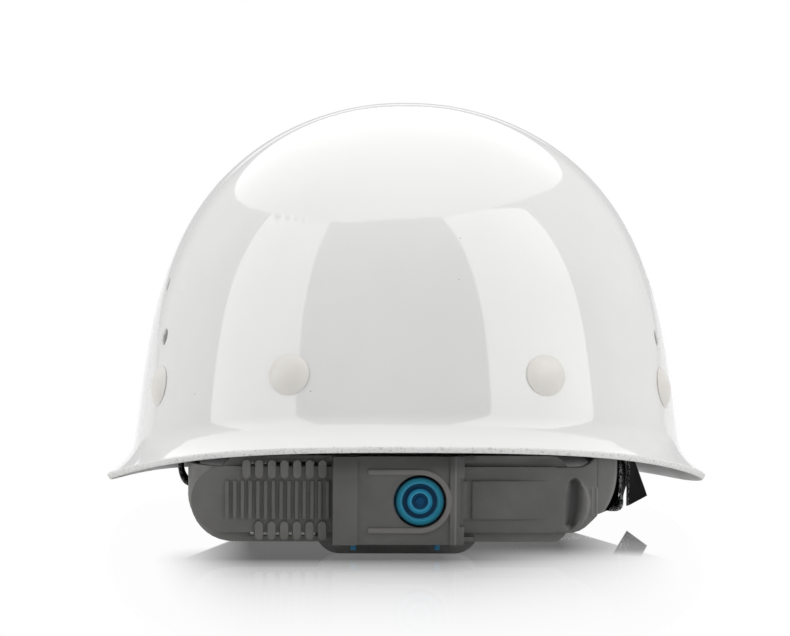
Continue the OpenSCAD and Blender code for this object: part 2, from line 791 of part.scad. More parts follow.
lever_half = 5.4;
hub_d = 3.4;
module pawl_lever() {
    arm_y = strap_y - 5.2;
    color(latch_blue)
        translate([0, 0, adjuster_z - lever_half])
            difference() {
                union() {
                    translate([pivot_x, arm_y, 0])
                        cube([button_x + 2.4 - pivot_x, 1.4, 2 * lever_half]);
                    translate([pivot_x - 11.4, strap_y - 4.4, 0])
                        cube([11.4, 1.2, 2 * lever_half]);
                    translate([pivot_x, pivot_y, 0])
                        cylinder(d = hub_d, h = 2 * lever_half);
                    for (i = [0, 1])
                        translate([pawl_x - i * rack_pitch, strap_y - 3.3, 0])
                            linear_extrude(height = 2 * lever_half)
                                polygon([[-0.55, 0], [0.55, 0], [0.2, 2.1 - rack_t + 0.85], [-0.2, 2.1 - rack_t + 0.85]]);
                }
                translate([pivot_x, pivot_y, -1])
                    cylinder(d = pin_d + 0.1, h = 2 * lever_half + 2);
            }
}

spring_d = 4;
spring_x = pivot_x - 8.6;
module return_spring() {
    back = strap_y - 4.4 - 0.02;
    front = housing_face + housing_wall - housing_step + 0.02;
    color(web_grey)
        translate([spring_x, front, adjuster_z])
            rotate([-90, 0, 0])
                difference() {
                    cylinder(d = spring_d, h = back - front);
                    translate([0, 0, -1])
                        cylinder(d = spring_d - 1, h = back - front + 2);
                }
}

// Release button with raised rings, a stem that meets the lever and two ears behind the housing's wall
button_front = housing_face - 0.7;
button_plate = 0.9;
stem_end = strap_y - 5.5;
module button_ears(r, y0, y1) {
    intersection() {
        translate([button_x, y0, button_z])
            rotate([-90, 0, 0])
                cylinder(r = r, h = y1 - y0, $fn = 96);
        for (s = [-1, 1])
            translate([button_x - 20, y0 - 1, button_z + s * 12.8 - 6])
                cube([40, y1 - y0 + 2, 12]);
    }
}
module ring(r_out, r_in, h) {
    difference() {
        cylinder(r = r_out, h = h, $fn = 96);
        translate([0, 0, -1])
            cylinder(r = r_in, h = h + 2, $fn = 96);
    }
}
module release_button() {
    color(latch_blue) {
        translate([button_x, button_front, button_z])
            rotate([-90, 0, 0]) {
                ring(button_d / 2, button_d / 2 - 1.8, 1);
                ring(button_d / 2 - 3.8, button_d / 2 - 5.5, 1);
                translate([0, 0, 0.7])
                    cylinder(d = button_d, h = button_plate, $fn = 96);
                cylinder(r = 1.5, h = stem_end - button_front);
            }
        button_ears(button_d / 2, button_front + 1, housing_face + housing_wall + 0.7);
        button_ears(button_hole + 0.7, housing_face + housing_wall + 0.1, housing_face + housing_wall + 0.9);
    }
}

// Hangers between the anchors and the headband
hanger_w = 12;
hanger_t = 1.6;
hanger_off = hanger_t / 2 + seat_gap;
module hanger(p, foot, foot_turn) {
    hull() {
        laid_down()
            on_shell(p[0], p[1])
                translate([8, -hanger_w / 2, -anchor_in - anchor_t - hanger_off - hanger_t / 2])
                    cube([6, hanger_w, hanger_t]);
        translate(foot)
            rotate([0, 0, foot_turn])
                translate([-hanger_w / 2, -hanger_t / 2, -3])
                    cube([hanger_w, hanger_t, 6]);
    }
}
front_foot_a = 57;
module hoop_hangers() {
    power = 2 / hoop_power;
    side_y = laid(shell_point(-side_rivet_a, side_rivet_z)).y;
    color(band_grey)
        for (side = [1, -1]) {
            w = side > 0 ? front_foot_a : 180 - front_foot_a;
            hanger(rivet_places[side > 0 ? 0 : 1],
                [hoop_x + (hoop_out + hanger_off) * signed_power(cos(w), power),
                 hoop_mid_y + (hoop_front_y - hoop_mid_y + hanger_off) * signed_power(sin(w), power),
                 hoop_z + hoop_h / 2],
                -side * (90 - front_foot_a));
            hanger(rivet_places[side > 0 ? 2 : 3],
                [hoop_x + side * (band_out + hanger_off), side_y + 4, arm_high - 4], 90);
            hanger(rivet_places[side > 0 ? 4 : 5], [side * 45, band_y + band_t + hanger_off, band_high - 4], 0);
        }
}

// Chin strap: tabs turn on studs of the headband, webbing hangs from them and crosses below the opening
swing_y = hoop_mid_y - 8;
swing_z = hoop_z + hoop_h - 10;
right_out = hoop_x + band_out;
left_out = hoop_x - band_out;
chin_stud_d = 4;
chin_stud_head = 8;
chin_stud_head_t = 1.2;
tab_w = chin_w + 4;
tab_t = 2;
tab_low = 15;
tab_x = hoop_out + slide_gap + 0.2;
module chin_stud_pins(extra) {
    for (side = [-1, 1])
        translate([hoop_x + side * (hoop_out - hoop_t), swing_y, swing_z])
            rotate([0, 90 * side, 0]) {
                cylinder(d = chin_stud_d + extra, h = hoop_t + tab_t + 1.4);
                if (extra == 0)
                    translate([0, 0, hoop_t + tab_t + 0.8])
                        cylinder(d = chin_stud_head, h = chin_stud_head_t);
            }
}
module chin_studs() {
    color(band_grey)
        chin_stud_pins(0);
}
module chin_tabs() {
    color(web_black)
        for (side = [-1, 1])
            translate([hoop_x + side * tab_x, swing_y, swing_z])
                rotate([90, 0, 90 * side])
                    difference() {
                        linear_extrude(height = tab_t) {
                            circle(d = 12);
                            translate([-6, -4])
                                square([12, 4]);
                            translate([-tab_w / 2, -tab_low])
                                square([tab_w, tab_low - 3]);
                        }
                        translate([0, 0, -1])
                            cylinder(d = chin_stud_d + 0.1, h = tab_t + 2);
                        translate([-chin_w / 2 - 0.5, -tab_low + 2.5, -1])
                            cube([chin_w + 1, webbing_t + 1, tab_t + 2]);
                    }
}
insert_x = -buckle_l / 2;
body_x = buckle_l / 2;
hang_z = swing_z - tab_low + 3 + webbing_t / 2;
right_face = hoop_x + tab_x + tab_t;
left_face = hoop_x - tab_x - tab_t;
chin_right_path = [
    [right_face - 1, hang_z], [right_face + 1.2, hang_z - 0.1], [right_face + 3.6, hang_z - 2.2],
    [right_face + 5.4, hang_z - 6], [right_face + 6, 13], [right_face + 5.3, 9.2],
    [right_face + 2.8, chin_z + 0.7], [right_face - 2, chin_z], [body_x - 5, chin_z]];
chin_left_path = [
    [left_face + 1, hang_z], [left_face - 1.2, hang_z - 0.1], [left_face - 3, hang_z - 2.4],
    [left_face - 3.8, 19], [left_face - 3.4, 16], [left_face - 0.8, 13.2], [left_face + 4, 11],
    [left_face + 14, 8.4], [left_face + 27, chin_z], [insert_x + 5, chin_z]];

// Side faces of a webbing that follows a path of points
function path_normal(path, i) =
    let (a = path[max(0, i - 1)], b = path[min(len(path) - 1, i + 1)], d = unit(b - a))
    [-d.y, d.x];
module webbing(path, width) {
    half = webbing_t / 2;
    one = [for (i = [0:len(path) - 1]) path[i] + half * path_normal(path, i)];
    other = [for (i = [len(path) - 1:-1:0]) path[i] - half * path_normal(path, i)];
    translate([0, swing_y + width / 2, 0])
        rotate([90, 0, 0])
            linear_extrude(height = width)
                polygon(concat(one, other));
}
module chin_strap_right() {
    color(web_black)
        webbing(chin_right_path, chin_w);
}
module chin_strap_left() {
    color(web_black)
        webbing(chin_left_path, chin_w);
}

// Loose end of the chin strap beyond its slider, hanging beside the right strap
tail_l = 21;
module chin_strap_tail() {
    color(web_black)
        translate([right_face + 11.2, swing_y - 2, 15.5])
            rotate([0, -10, 27])
                translate([-webbing_t / 2, -chin_w / 2, -tail_l / 2])
                    cube([webbing_t, chin_w, tail_l]);
}

slider_x = 42;
module strap_slider() {
    color(web_black)
        difference() {
            translate([slider_x - 8, swing_y - chin_w / 2 - 3, chin_z - 1.8])
                cube([16, chin_w + 6, 3.6]);
            translate([slider_x - 9, swing_y - chin_w / 2 - 0.4, chin_z - webbing_t / 2 - 0.1])
                cube([18, chin_w + 0.8, webbing_t + 0.2]);
            for (x = [-4.6, 1.6])
                translate([slider_x + x, swing_y - chin_w / 2 - 0.4, chin_z - 3])
                    cube([3, chin_w + 0.8, 6]);
        }
}

module buckle_body() {
    color(web_black)
        difference() {
            translate([-2, swing_y - buckle_w / 2, chin_z - buckle_t / 2])
                cube([body_x + 2, buckle_w, buckle_t]);
            translate([-3, swing_y - buckle_w / 2 + 4, chin_z - buckle_t / 2 + 1.6])
                cube([14, buckle_w - 8, buckle_t - 3.2]);
            translate([body_x - 5.5, swing_y - chin_w / 2 - 0.5, chin_z - buckle_t])
                cube([3.2, chin_w + 1, 2 * buckle_t]);
            translate([body_x - 6, swing_y - chin_w / 2 - 0.5, chin_z - webbing_t / 2 - 0.1])
                cube([10, chin_w + 1, webbing_t + 0.2]);
        }
}
module buckle_insert() {
    color(web_black) {
        difference() {
            translate([insert_x, swing_y - buckle_w / 2, chin_z - buckle_t / 2])
                cube([-insert_x - 2.2, buckle_w, buckle_t]);
            translate([insert_x + 2.4, swing_y - chin_w / 2 - 0.5, chin_z - buckle_t])
                cube([3.2, chin_w + 1, 2 * buckle_t]);
            translate([insert_x - 4, swing_y - chin_w / 2 - 0.5, chin_z - webbing_t / 2 - 0.1])
                cube([10, chin_w + 1, webbing_t + 0.2]);
        }
        translate([-2.3, swing_y - buckle_w / 2 + 4.3, chin_z - buckle_t / 2 + 1.8])
            cube([12, buckle_w - 8.6, buckle_t - 3.6]);
    }
}

shell();
rivet_caps();
strap_anchors();
crown_strap_left_front();
crown_strap_right_front();
crown_strap_side();
front_hoop();
hoop_hangers();
brow_pad();
left_nape_band();
size_strap();
right_side_arm();
band_studs();
adjuster_housing();
nape_plate();
latch_carrier();
release_button();
pawl_lever();
pawl_pin();
return_spring();
chin_studs();
chin_tabs();
chin_strap_right();
chin_strap_left();
chin_strap_tail();
strap_slider();
buckle_body();
buckle_insert();
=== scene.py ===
from math import atan2, cos, pi, radians, sin, sqrt

import bmesh
import bpy
import numpy as np
from mathutils import Matrix, Vector


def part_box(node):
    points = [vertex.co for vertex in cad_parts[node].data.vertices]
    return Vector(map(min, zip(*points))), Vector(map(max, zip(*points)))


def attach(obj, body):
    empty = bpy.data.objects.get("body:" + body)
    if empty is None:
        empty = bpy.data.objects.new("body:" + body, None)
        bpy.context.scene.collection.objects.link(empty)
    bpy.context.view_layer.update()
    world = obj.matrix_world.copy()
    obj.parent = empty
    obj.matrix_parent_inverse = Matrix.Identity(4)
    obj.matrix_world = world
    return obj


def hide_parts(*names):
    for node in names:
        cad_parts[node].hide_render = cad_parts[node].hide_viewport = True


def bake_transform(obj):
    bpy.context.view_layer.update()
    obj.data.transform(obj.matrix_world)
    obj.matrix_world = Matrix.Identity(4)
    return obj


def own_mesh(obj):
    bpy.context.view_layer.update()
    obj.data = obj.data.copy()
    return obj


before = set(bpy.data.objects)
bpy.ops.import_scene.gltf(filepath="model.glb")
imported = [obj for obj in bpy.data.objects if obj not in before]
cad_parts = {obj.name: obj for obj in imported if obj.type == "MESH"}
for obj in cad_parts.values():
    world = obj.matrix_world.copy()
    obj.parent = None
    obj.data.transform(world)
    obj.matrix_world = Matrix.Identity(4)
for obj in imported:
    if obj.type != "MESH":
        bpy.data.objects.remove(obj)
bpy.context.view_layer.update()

# Sizes in metres, as in the part's source
SHELL_LENGTH = 0.275
SHELL_WIDTH = 0.220
CROWN_HEIGHT = 0.131
SHELL_WALL = 0.0025
BRIM_SIDE = 0.010
BRIM_REAR = 0.009
PEAK_REACH = 0.032
BRIM_RISE = 0.012
PEAK_RISE = 0.016
BRIM_DIP = 0.0065
BRIM_LIFT = 0.0024
FLARE_POWER = 1.85
LYING_TILT = radians(7.4)
PLAN_POWER = 2.5
PROFILE_POWER = 3.68
PROFILE_ROOT = 1.95
PROFILE_TAPER = 0.158
DOME_FOOT = 0.004
DOME_HALF_W = SHELL_WIDTH / 2 - BRIM_SIDE
DOME_HALF_L = (SHELL_LENGTH - BRIM_REAR - PEAK_REACH) / 2
DOME_Y = (BRIM_REAR - PEAK_REACH) / 2

CAP_D = 0.0148
CAP_H = 0.0026
VENT_D = 0.006
VENT_PLACES = [(-22.6, 0.0427), (-14.3, 0.0621)]
RIVET_PLACES = [(65, 0.028), (115, 0.028), (-24, 0.025), (204, 0.025), (-67.5, 0.028), (247.5, 0.028)]
ANCHOR_BACK = 0.006
ANCHOR_HALF = 0.015
STRAP_BITE = 0.003

WEBBING_W = 0.018
WEBBING_T = 0.0013
CROWN_ROOM = 0.031
STRAP_LAYER = 0.00155

HOOP_X = -0.004
HOOP_OUT = 0.07385
HOOP_T = 0.002
HOOP_FRONT_Y = 0.09657
HOOP_MID_Y = -0.012
HOOP_POWER = 2.25
HOOP_Z = 0.020
HOOP_H = 0.026
PAD_T = 0.004
PAD_OVER = 0.003

CHIN_Y = -0.020
CHIN_W = 0.015
CHIN_Z = 0.006
HANG_Z = 0.02465


def signed_power(c, p):
    return np.sign(c) * np.abs(c) ** p


def dome_scale(z):
    u = np.clip((z - DOME_FOOT) / (CROWN_HEIGHT - DOME_FOOT), 0, 1)
    return (1 - u ** PROFILE_POWER) ** (1 / PROFILE_ROOT) * (1 - PROFILE_TAPER * u)


def brim_reach(a):
    to_peak = np.maximum(0, np.sin(a)) ** 3
    to_rear = np.maximum(0, -np.sin(a)) ** 2
    return BRIM_SIDE + (PEAK_REACH - BRIM_SIDE) * to_peak + (BRIM_REAR - BRIM_SIDE) * to_rear


def edge_z(a):
    return BRIM_LIFT * np.maximum(0, -np.sin(a)) ** 3 - BRIM_DIP * np.cos(a) ** 4


def turn_rise(a):
    return BRIM_RISE + (PEAK_RISE - BRIM_RISE) * np.maximum(0, np.sin(a)) ** 3


def shell_point(a, z):
    """Outer face of the shell at plan angle a and height z, in the helmet's own upright frame."""
    s = dome_scale(z)
    t = np.maximum(0, 1 - (z - edge_z(a)) / turn_rise(a))
    reach = brim_reach(a) * t ** FLARE_POWER
    x = DOME_HALF_W * signed_power(np.cos(a), 2 / PLAN_POWER) * s + reach * np.cos(a)
    y = DOME_Y + DOME_HALF_L * signed_power(np.sin(a), 2 / PLAN_POWER) * s + reach * np.sin(a)
    return np.stack([x, y, z + 0 * a], -1)


def unit(v):
    return v / np.linalg.norm(v, axis=-1, keepdims=True)


def shell_normal(a, z):
    step_a, step_z = radians(1), 0.001
    around = shell_point(a + step_a, z) - shell_point(a - step_a, z)
    upward = shell_point(a, z + step_z) - shell_point(a, z - step_z)
    return unit(np.cross(around, upward))


# Share of the rows' way from the brim's edge to the crown that lies on the brim
BRIM_SHARE = 0.25


def row_z(a, v):
    """Height at the share v of the way from the brim's edge to the crown."""
    foot = edge_z(a) + turn_rise(a)
    low = edge_z(a) + turn_rise(a) * (np.minimum(v, BRIM_SHARE) / BRIM_SHARE) ** 1.2
    high = foot + (CROWN_HEIGHT - foot) * np.sin(pi / 2 * np.maximum(0, v - BRIM_SHARE) / (1 - BRIM_SHARE))
    return np.where(v < BRIM_SHARE, low, high)


def row_point(a, v):
    return shell_point(a, row_z(a, v))


def row_normal(a, v, probe=0.004):
    around = row_point(a + radians(1), v) - row_point(a - radians(1), v)
    upward = row_point(a, np.minimum(v + probe, 1 - probe)) - row_point(a, np.maximum(v - probe, 0))
    return unit(np.cross(around, upward))


def lying_pose():
    """The matrix that lays the helmet nose-down on the floor, centred in plan."""
    tilt = Matrix.Rotation(-LYING_TILT, 4, "X")
    a = np.arange(64) * 2 * pi / 64
    v = np.zeros(64)
    outside = row_point(a, v) @ np.array(tilt.to_3x3()).T
    inside = (row_point(a, v) - SHELL_WALL * row_normal(a, v)) @ np.array(tilt.to_3x3()).T
    lift = -min(outside[:, 2].min(), inside[:, 2].min())
    shift = -(outside[:, 1].min() + outside[:, 1].max()) / 2
    return Matrix.Translation((0, shift, lift)) @ tilt


LAID = lying_pose()


def on_shell(angle, z):
    """Frame on the laid shell's outer face: Z outward, X down the wall."""
    a = radians(angle)
    n = Vector(shell_normal(np.array(a), np.array(z)))
    turn = Matrix.Rotation(atan2(n.y, n.x), 4, "Z") @ Matrix.Rotation(atan2(sqrt(n.x ** 2 + n.y ** 2), n.z), 4, "Y")
    return LAID @ Matrix.Translation(Vector(shell_point(np.array(a), np.array(z)))) @ turn


# Shader nodes


def feed(node, **sockets):
    """Fills or links a node's inputs, named by the keys, or by their place in keys such as i0."""
    for key, value in sockets.items():
        socket = node.inputs[int(key[1:]) if key[1:].isdigit() else key.replace("_", " ")]
        if isinstance(value, bpy.types.NodeSocket):
            node.id_data.links.new(value, socket)
        else:
            socket.default_value = (*value, 1) if isinstance(value, tuple) else value


def add(tree, kind, settings=None, **sockets):
    """Adds a node, sets its settings and feeds its inputs."""
    node = tree.nodes.new("ShaderNode" + kind)
    for key, value in (settings or {}).items():
        setattr(node, key, value)
    feed(node, **sockets)
    return node


def tree_of(*values):
    """The node tree of the first socket among the values."""
    return next(value.id_data for value in values if isinstance(value, bpy.types.NodeSocket))


def calc(operation, a, b=0.0):
    return add(tree_of(a, b), "Math", {"operation": operation}, i0=a, i1=b).outputs[0]


def plus(a, b):
    return calc("ADD", a, b)


def minus(a, b):
    return calc("SUBTRACT", a, b)


def times(a, b):
    return calc("MULTIPLY", a, b)


def over(a, b):
    return calc("DIVIDE", a, b)


def ramp(value, low, high):
    """0 below low, 1 above high, smooth between."""
    return add(value.id_data, "MapRange", {"interpolation_type": "SMOOTHSTEP"}, i0=value, i1=low, i2=high).outputs[0]


def falloff(value, low, high):
    """1 below low, 0 above high, smooth between."""
    return minus(1.0, ramp(value, low, high))


def slope(value, low, high, start, end):
    """From start at low to end at high, straight between."""
    return add(value.id_data, "MapRange", i0=value, i1=low, i2=high, i3=start, i4=end).outputs[0]


def mix(factor, a, b):
    return add(factor.id_data, "Mix", i0=factor, i2=a, i3=b).outputs[0]


def blend_colour(factor, a, b):
    return add(tree_of(factor, a, b), "Mix", {"data_type": "RGBA"}, i0=factor, i6=a, i7=b).outputs[2]


def coordinates(tree, kind):
    """The three parts of a texture coordinate."""
    return add(tree, "SeparateXYZ", i0=add(tree, "TexCoord").outputs[kind]).outputs


def new_group(name, inputs, outputs):
    """A node group of numbers, with the sockets inside that bring its inputs and the node that takes its outputs."""
    group = bpy.data.node_groups.new(name, "ShaderNodeTree")
    for label, value in inputs.items():
        group.interface.new_socket(label, in_out="INPUT", socket_type="NodeSocketFloat").default_value = value
    for label in outputs:
        group.interface.new_socket(label, in_out="OUTPUT", socket_type="NodeSocketFloat")
    return group, group.nodes.new("NodeGroupInput").outputs, group.nodes.new("NodeGroupOutput")


def make_moulded_grain():
    """Fine moulded texture: a height, and a mask that drifts over the surface."""
    group, take, give = new_group("moulded_grain", {"Grain Size": 0.0004, "Drift Size": 0.02}, ["Height", "Drift"])
    place = add(group, "TexCoord").outputs["Object"]
    fine = add(group, "TexNoise", Vector=place, Detail=3.0, Roughness=0.6, Scale=over(1.0, take["Grain Size"]))
    drift = add(group, "TexNoise", Vector=place, Detail=2.0, Scale=over(1.0, take["Drift Size"]))
    feed(give, Height=fine.outputs[0], Drift=drift.outputs[0])
    return group


def make_dust():
    """Sparse small specks: a mask of 1 on a speck."""
    group, take, give = new_group("dust_specks", {"Spacing": 0.006, "Speck": 0.05, "Share": 0.3}, ["Mask"])
    place = add(group, "TexCoord").outputs["Object"]
    cells = add(group, "TexVoronoi", Vector=place, Scale=over(1.0, take["Spacing"])).outputs
    chosen = calc("LESS_THAN", add(group, "SeparateColor", i0=cells["Color"]).outputs[0], take["Share"])
    feed(give, Mask=times(calc("LESS_THAN", cells["Distance"], take["Speck"]), chosen))
    return group


def make_weave():
    """Woven webbing from UV in metres: thread height, and masks of the warp stripes and of the selvedge."""
    group, take, give = new_group("woven_threads", {"Thread": 0.0009, "Half Width": 0.0075, "Worn From": 0.90},
                                  ["Height", "Stripe", "Selvedge"])
    uv = coordinates(group, "UV")
    along, across = over(uv[0], take["Thread"]), over(uv[1], take["Thread"])
    row = calc("FLOOR", across)
    bump_across = calc("ABSOLUTE", calc("SINE", times(across, pi)))
    stagger = plus(times(along, 0.5), times(row, 0.5))
    bump_along = calc("ABSOLUTE", calc("SINE", times(stagger, pi)))
    stripe = add(group, "TexNoise", {"noise_dimensions": "1D"}, W=row, Scale=1.7, Detail=0.0)
    edge = over(calc("ABSOLUTE", uv[1]), take["Half Width"])
    feed(give, Height=times(calc("POWER", bump_across, 0.6), calc("POWER", bump_along, 0.5)), Stripe=stripe.outputs[0],
         Selvedge=ramp(edge, take["Worn From"], plus(take["Worn From"], 0.05)))
    return group


def make_scuffs():
    """Thin wandering scratches: a mask of 1 on a scratch."""
    group, take, give = new_group("handling_scuffs", {"Size": 0.02, "Width": 0.01}, ["Mask"])
    place = add(group, "TexCoord").outputs["Object"]
    lines = add(group, "TexNoise", Vector=place, Scale=over(1.0, take["Size"]), Detail=2.0, Distortion=1.5)
    patches = add(group, "TexNoise", Vector=place, Scale=over(0.4, take["Size"]), Detail=1.0)
    thin = falloff(calc("ABSOLUTE", minus(lines.outputs[0], 0.5)), 0.0, take["Width"])
    feed(give, Mask=times(thin, ramp(patches.outputs[0], 0.55, 0.68)))
    return group


GRAIN = make_moulded_grain()
DUST = make_dust()
WEAVE = make_weave()
SCUFFS = make_scuffs()


def place_group(tree, group, **values):
    return add(tree, "Group", {"node_tree": group}, **values).outputs


def new_material(name, **values):
    material = bpy.data.materials.new(name)
    material.use_nodes = True
    tree = material.node_tree
    shader = tree.nodes["Principled BSDF"]
    feed(shader, **values)
    return material, tree, shader


def bump(shader, height, distance, strength=1.0):
    normal = add(shader.id_data, "Bump", Height=height, Distance=distance, Strength=strength).outputs[0]
    feed(shader, Normal=normal)
    return normal


def gloss_white(name, tone, shade):
    """Polished white moulding: faint orange peel, a slow drift of tone and a few specks."""
    material, tree, shader = new_material(
        name, Specular_IOR_Level=0.5, Coat_Weight=1.0, Coat_Roughness=0.03, Coat_IOR=1.55)
    grain = place_group(tree, GRAIN, Grain_Size=0.0075, Drift_Size=0.05)
    specks = place_group(tree, DUST, Spacing=0.013, Speck=0.020, Share=0.22)
    clean = blend_colour(ramp(grain["Drift"], 0.35, 0.65), tone, shade)
    feed(shader, Base_Color=blend_colour(specks["Mask"], clean, (0.42, 0.42, 0.41)),
         Roughness=plus(times(grain["Drift"], 0.03), 0.06),
         Coat_Normal=bump(shader, grain["Height"], 0.00006, 0.35))
    return material


def satin_plastic(name, tone, shade, roughness, grain_size, grain_depth, scuffs, recolour=None):
    """Moulded plastic with fine grain, drifting tone, light scuffs and dust; recolour may change its colour, and paints
    light and shade on some materials.
    """
    material, tree, shader = new_material(name, Specular_IOR_Level=0.45)
    grain = place_group(tree, GRAIN, Grain_Size=grain_size, Drift_Size=0.012)
    marks = place_group(tree, SCUFFS, Size=0.018, Width=0.012)
    specks = place_group(tree, DUST, Spacing=0.0035, Speck=0.05, Share=0.12)
    drift = ramp(grain["Drift"], 0.3, 0.7)
    pale = tuple(min(1, 1.7 * c + 0.03) for c in tone)
    rubbed = blend_colour(times(marks["Mask"], scuffs), blend_colour(drift, tone, shade), pale)
    dusty = blend_colour(times(specks["Mask"], 0.5), rubbed, pale)
    # recolour paints highlights and shade into the base colour on some materials
    feed(shader, Base_Color=recolour(dusty) if recolour else dusty,
         Roughness=plus(plus(times(drift, 0.08), roughness), times(marks["Mask"], 0.12)))
    bump(shader, grain["Height"], grain_depth)
    return material


def painted_scoop_shade_and_lip_highlight(colour):
    """Painted shade in the thumb scoop and painted highlight on its lip and ribs, whose shares lie in UV."""
    uv = coordinates(colour.id_data, "UV")
    return blend_colour(uv[1], blend_colour(uv[0], colour, (0.020, 0.020, 0.019)), (0.21, 0.208, 0.20))


PAINTED_SHADE_EDGE = (-0.0001, 0.0002)


def painted_shade_past_line(colour):
    """Near black painted shade over the strap past a line, with a pale rim before it; UV.x is the distance past the
    line.
    """
    past = coordinates(colour.id_data, "UV")[0]
    edged = blend_colour(times(ramp(past, -0.0011, -0.0006), 0.5), colour, (0.20, 0.198, 0.19))
    return blend_colour(ramp(past, *PAINTED_SHADE_EDGE), edged, (0.0008, 0.0008, 0.0008))


def dull_painted_shade(material):
    """Takes the gloss off the stretch under painted shade."""
    past = coordinates(material.node_tree, "UV")[0]
    feed(material.node_tree.nodes["Principled BSDF"], Specular_IOR_Level=slope(past, *PAINTED_SHADE_EDGE, 0.45, 0.0))


button_low, button_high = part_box("release_button")
BUTTON_X, BUTTON_Z = (button_low.x + button_high.x) / 2, (button_low.z + button_high.z) / 2
# Painted highlights and painted shade on the button's rings: where each starts and is full, outward from the middle,
# and its colour
BUTTON_RING_PAINT = [
    (0.0026, 0.0030, (0.040, 0.290, 0.460)), (0.0034, 0.0037, (0.012, 0.175, 0.300)),
    (0.0042, 0.0045, (0.0006, 0.026, 0.068)), (0.0060, 0.0063, (0.045, 0.310, 0.470)),
    (0.0067, 0.0071, (0.012, 0.165, 0.240)), (0.0076, 0.0078, (0.008, 0.110, 0.160)),
    (0.0080, 0.0083, (0.001, 0.012, 0.018))]
# Middle radius of the housing's ridge round the button, and the place of the painted highlight line at its corner
RIDGE_R = 0.01025
CORNER_HIGHLIGHT_X = 0.0131
RIDGE_HIGHLIGHT = (0.225, 0.216, 0.205)


def painted_button_ring_light(colour):
    """Painted highlights on the release button's ring edges, and painted shade in its groove, its dished middle and the
    gap round it.
    """
    place = coordinates(colour.id_data, "Object")
    away = calc("SQRT", plus(calc("POWER", minus(place[0], BUTTON_X), 2.0),
                             calc("POWER", minus(place[2], BUTTON_Z), 2.0)))
    ring = (0.0012, 0.046, 0.118)
    for low, high, tone in BUTTON_RING_PAINT:
        ring = blend_colour(ramp(away, low, high), ring, tone)
    return blend_colour(0.06, ring, colour)


def painted_ridge_highlight_and_brim_shadow(colour):
    """Painted highlight on the ridge round the button and along its corner line, and painted shadow close under the
    brim.
    """
    place = coordinates(colour.id_data, "Object")
    aside = calc("MAXIMUM", minus(place[0], BUTTON_X), 0.0)
    above = minus(place[2], BUTTON_Z)
    away = calc("SQRT", plus(times(aside, aside), times(above, above)))
    on_ridge = falloff(calc("ABSOLUTE", minus(away, RIDGE_R)), 0.0006, 0.0010)
    reach = times(ramp(place[0], BUTTON_X - 0.0182, BUTTON_X - 0.0178), 0.42)
    # Painted highlight on the ridge round the button
    pale = blend_colour(times(on_ridge, reach), colour, RIDGE_HIGHLIGHT)
    # Painted highlight line along the corner
    line = times(falloff(calc("ABSOLUTE", minus(place[0], CORNER_HIGHLIGHT_X)), 0.0002, 0.0005), 0.5)
    # Painted shadow of the brim along the housing's top
    brim_shadow = times(ramp(place[2], 0.0285, 0.0335), 0.55)
    return blend_colour(brim_shadow, blend_colour(line, pale, RIDGE_HIGHLIGHT), (0.040, 0.040, 0.039))


def shadowed(colour):
    """Near black in the deep front of the shell, where no light reaches."""
    place = coordinates(colour.id_data, "Object")
    deep = times(ramp(place[1], 0.005, 0.045), falloff(calc("ABSOLUTE", place[0]), 0.080, 0.092))
    return blend_colour(deep, colour, (0.010, 0.010, 0.010))


def webbing_cloth(name, tone, shade, thread, width, worn_from=0.90, worn=0.30):
    """Woven strap: threads from UV, darker gaps, stripes along it and an edge worn to a paler fuzz."""
    material, tree, shader = new_material(name, Roughness=0.85, Specular_IOR_Level=0.15, Sheen_Weight=0.05,
                                          Sheen_Roughness=0.5)
    weave = place_group(tree, WEAVE, Thread=thread, Half_Width=width / 2, Worn_From=worn_from)
    striped = blend_colour(ramp(weave["Stripe"], 0.35, 0.65), tone, shade)
    woven = blend_colour(ramp(weave["Height"], 0.05, 0.5), tuple(0.35 * c for c in tone), striped)
    fuzz = place_group(tree, GRAIN, Grain_Size=0.0006, Drift_Size=0.002)
    tufts = times(ramp(fuzz["Height"], 0.45, 0.53), 0.9)
    feed(shader, Base_Color=blend_colour(times(weave["Selvedge"], tufts), woven, (worn, worn, worn)))
    bump(shader, weave["Height"], 0.00018)
    return material


def padded_cloth(name, tone, shade):
    """Brushed cloth over foam."""
    material, tree, shader = new_material(name, Roughness=0.9, Specular_IOR_Level=0.2, Sheen_Weight=0.35,
                                          Sheen_Roughness=0.45)
    grain = place_group(tree, GRAIN, Grain_Size=0.0007, Drift_Size=0.01)
    nap = blend_colour(ramp(grain["Drift"], 0.3, 0.7), tone, shade)
    feed(shader, Base_Color=blend_colour(ramp(grain["Height"], 0.35, 0.7), tuple(0.5 * c for c in tone), nap))
    bump(shader, grain["Height"], 0.00025)
    return material


def bright_steel(name):
    material, tree, shader = new_material(name, Metallic=1.0)
    grain = place_group(tree, GRAIN, Grain_Size=0.0003, Drift_Size=0.004)
    feed(shader, Base_Color=blend_colour(ramp(grain["Drift"], 0.3, 0.7), (0.55, 0.55, 0.56), (0.70, 0.70, 0.71)),
         Roughness=plus(times(grain["Height"], 0.15), 0.2))
    bump(shader, grain["Height"], 0.00001)
    return material


def cut_edge_white(name):
    """The brim's trimmed edge: speckled, chalky, with darker pits."""
    material, tree, shader = new_material(name, Specular_IOR_Level=0.3, Roughness=0.55)
    grain = place_group(tree, GRAIN, Grain_Size=0.0011, Drift_Size=0.006)
    body = blend_colour(grain["Drift"], (0.72, 0.72, 0.71), (0.82, 0.82, 0.81))
    feed(shader, Base_Color=blend_colour(ramp(grain["Height"], 0.34, 0.46), (0.56, 0.56, 0.55), body))
    bump(shader, grain["Height"], 0.00012)
    return material


GREY, GREY_SHADE = (0.125, 0.124, 0.121), (0.108, 0.107, 0.104)
BLUE, BLUE_SHADE = (0.008, 0.165, 0.300), (0.006, 0.140, 0.262)
# Roughness, grain size, grain depth and scuffs of the grey mouldings
SATIN = (0.40, 0.00035, 0.000012, 0.06)

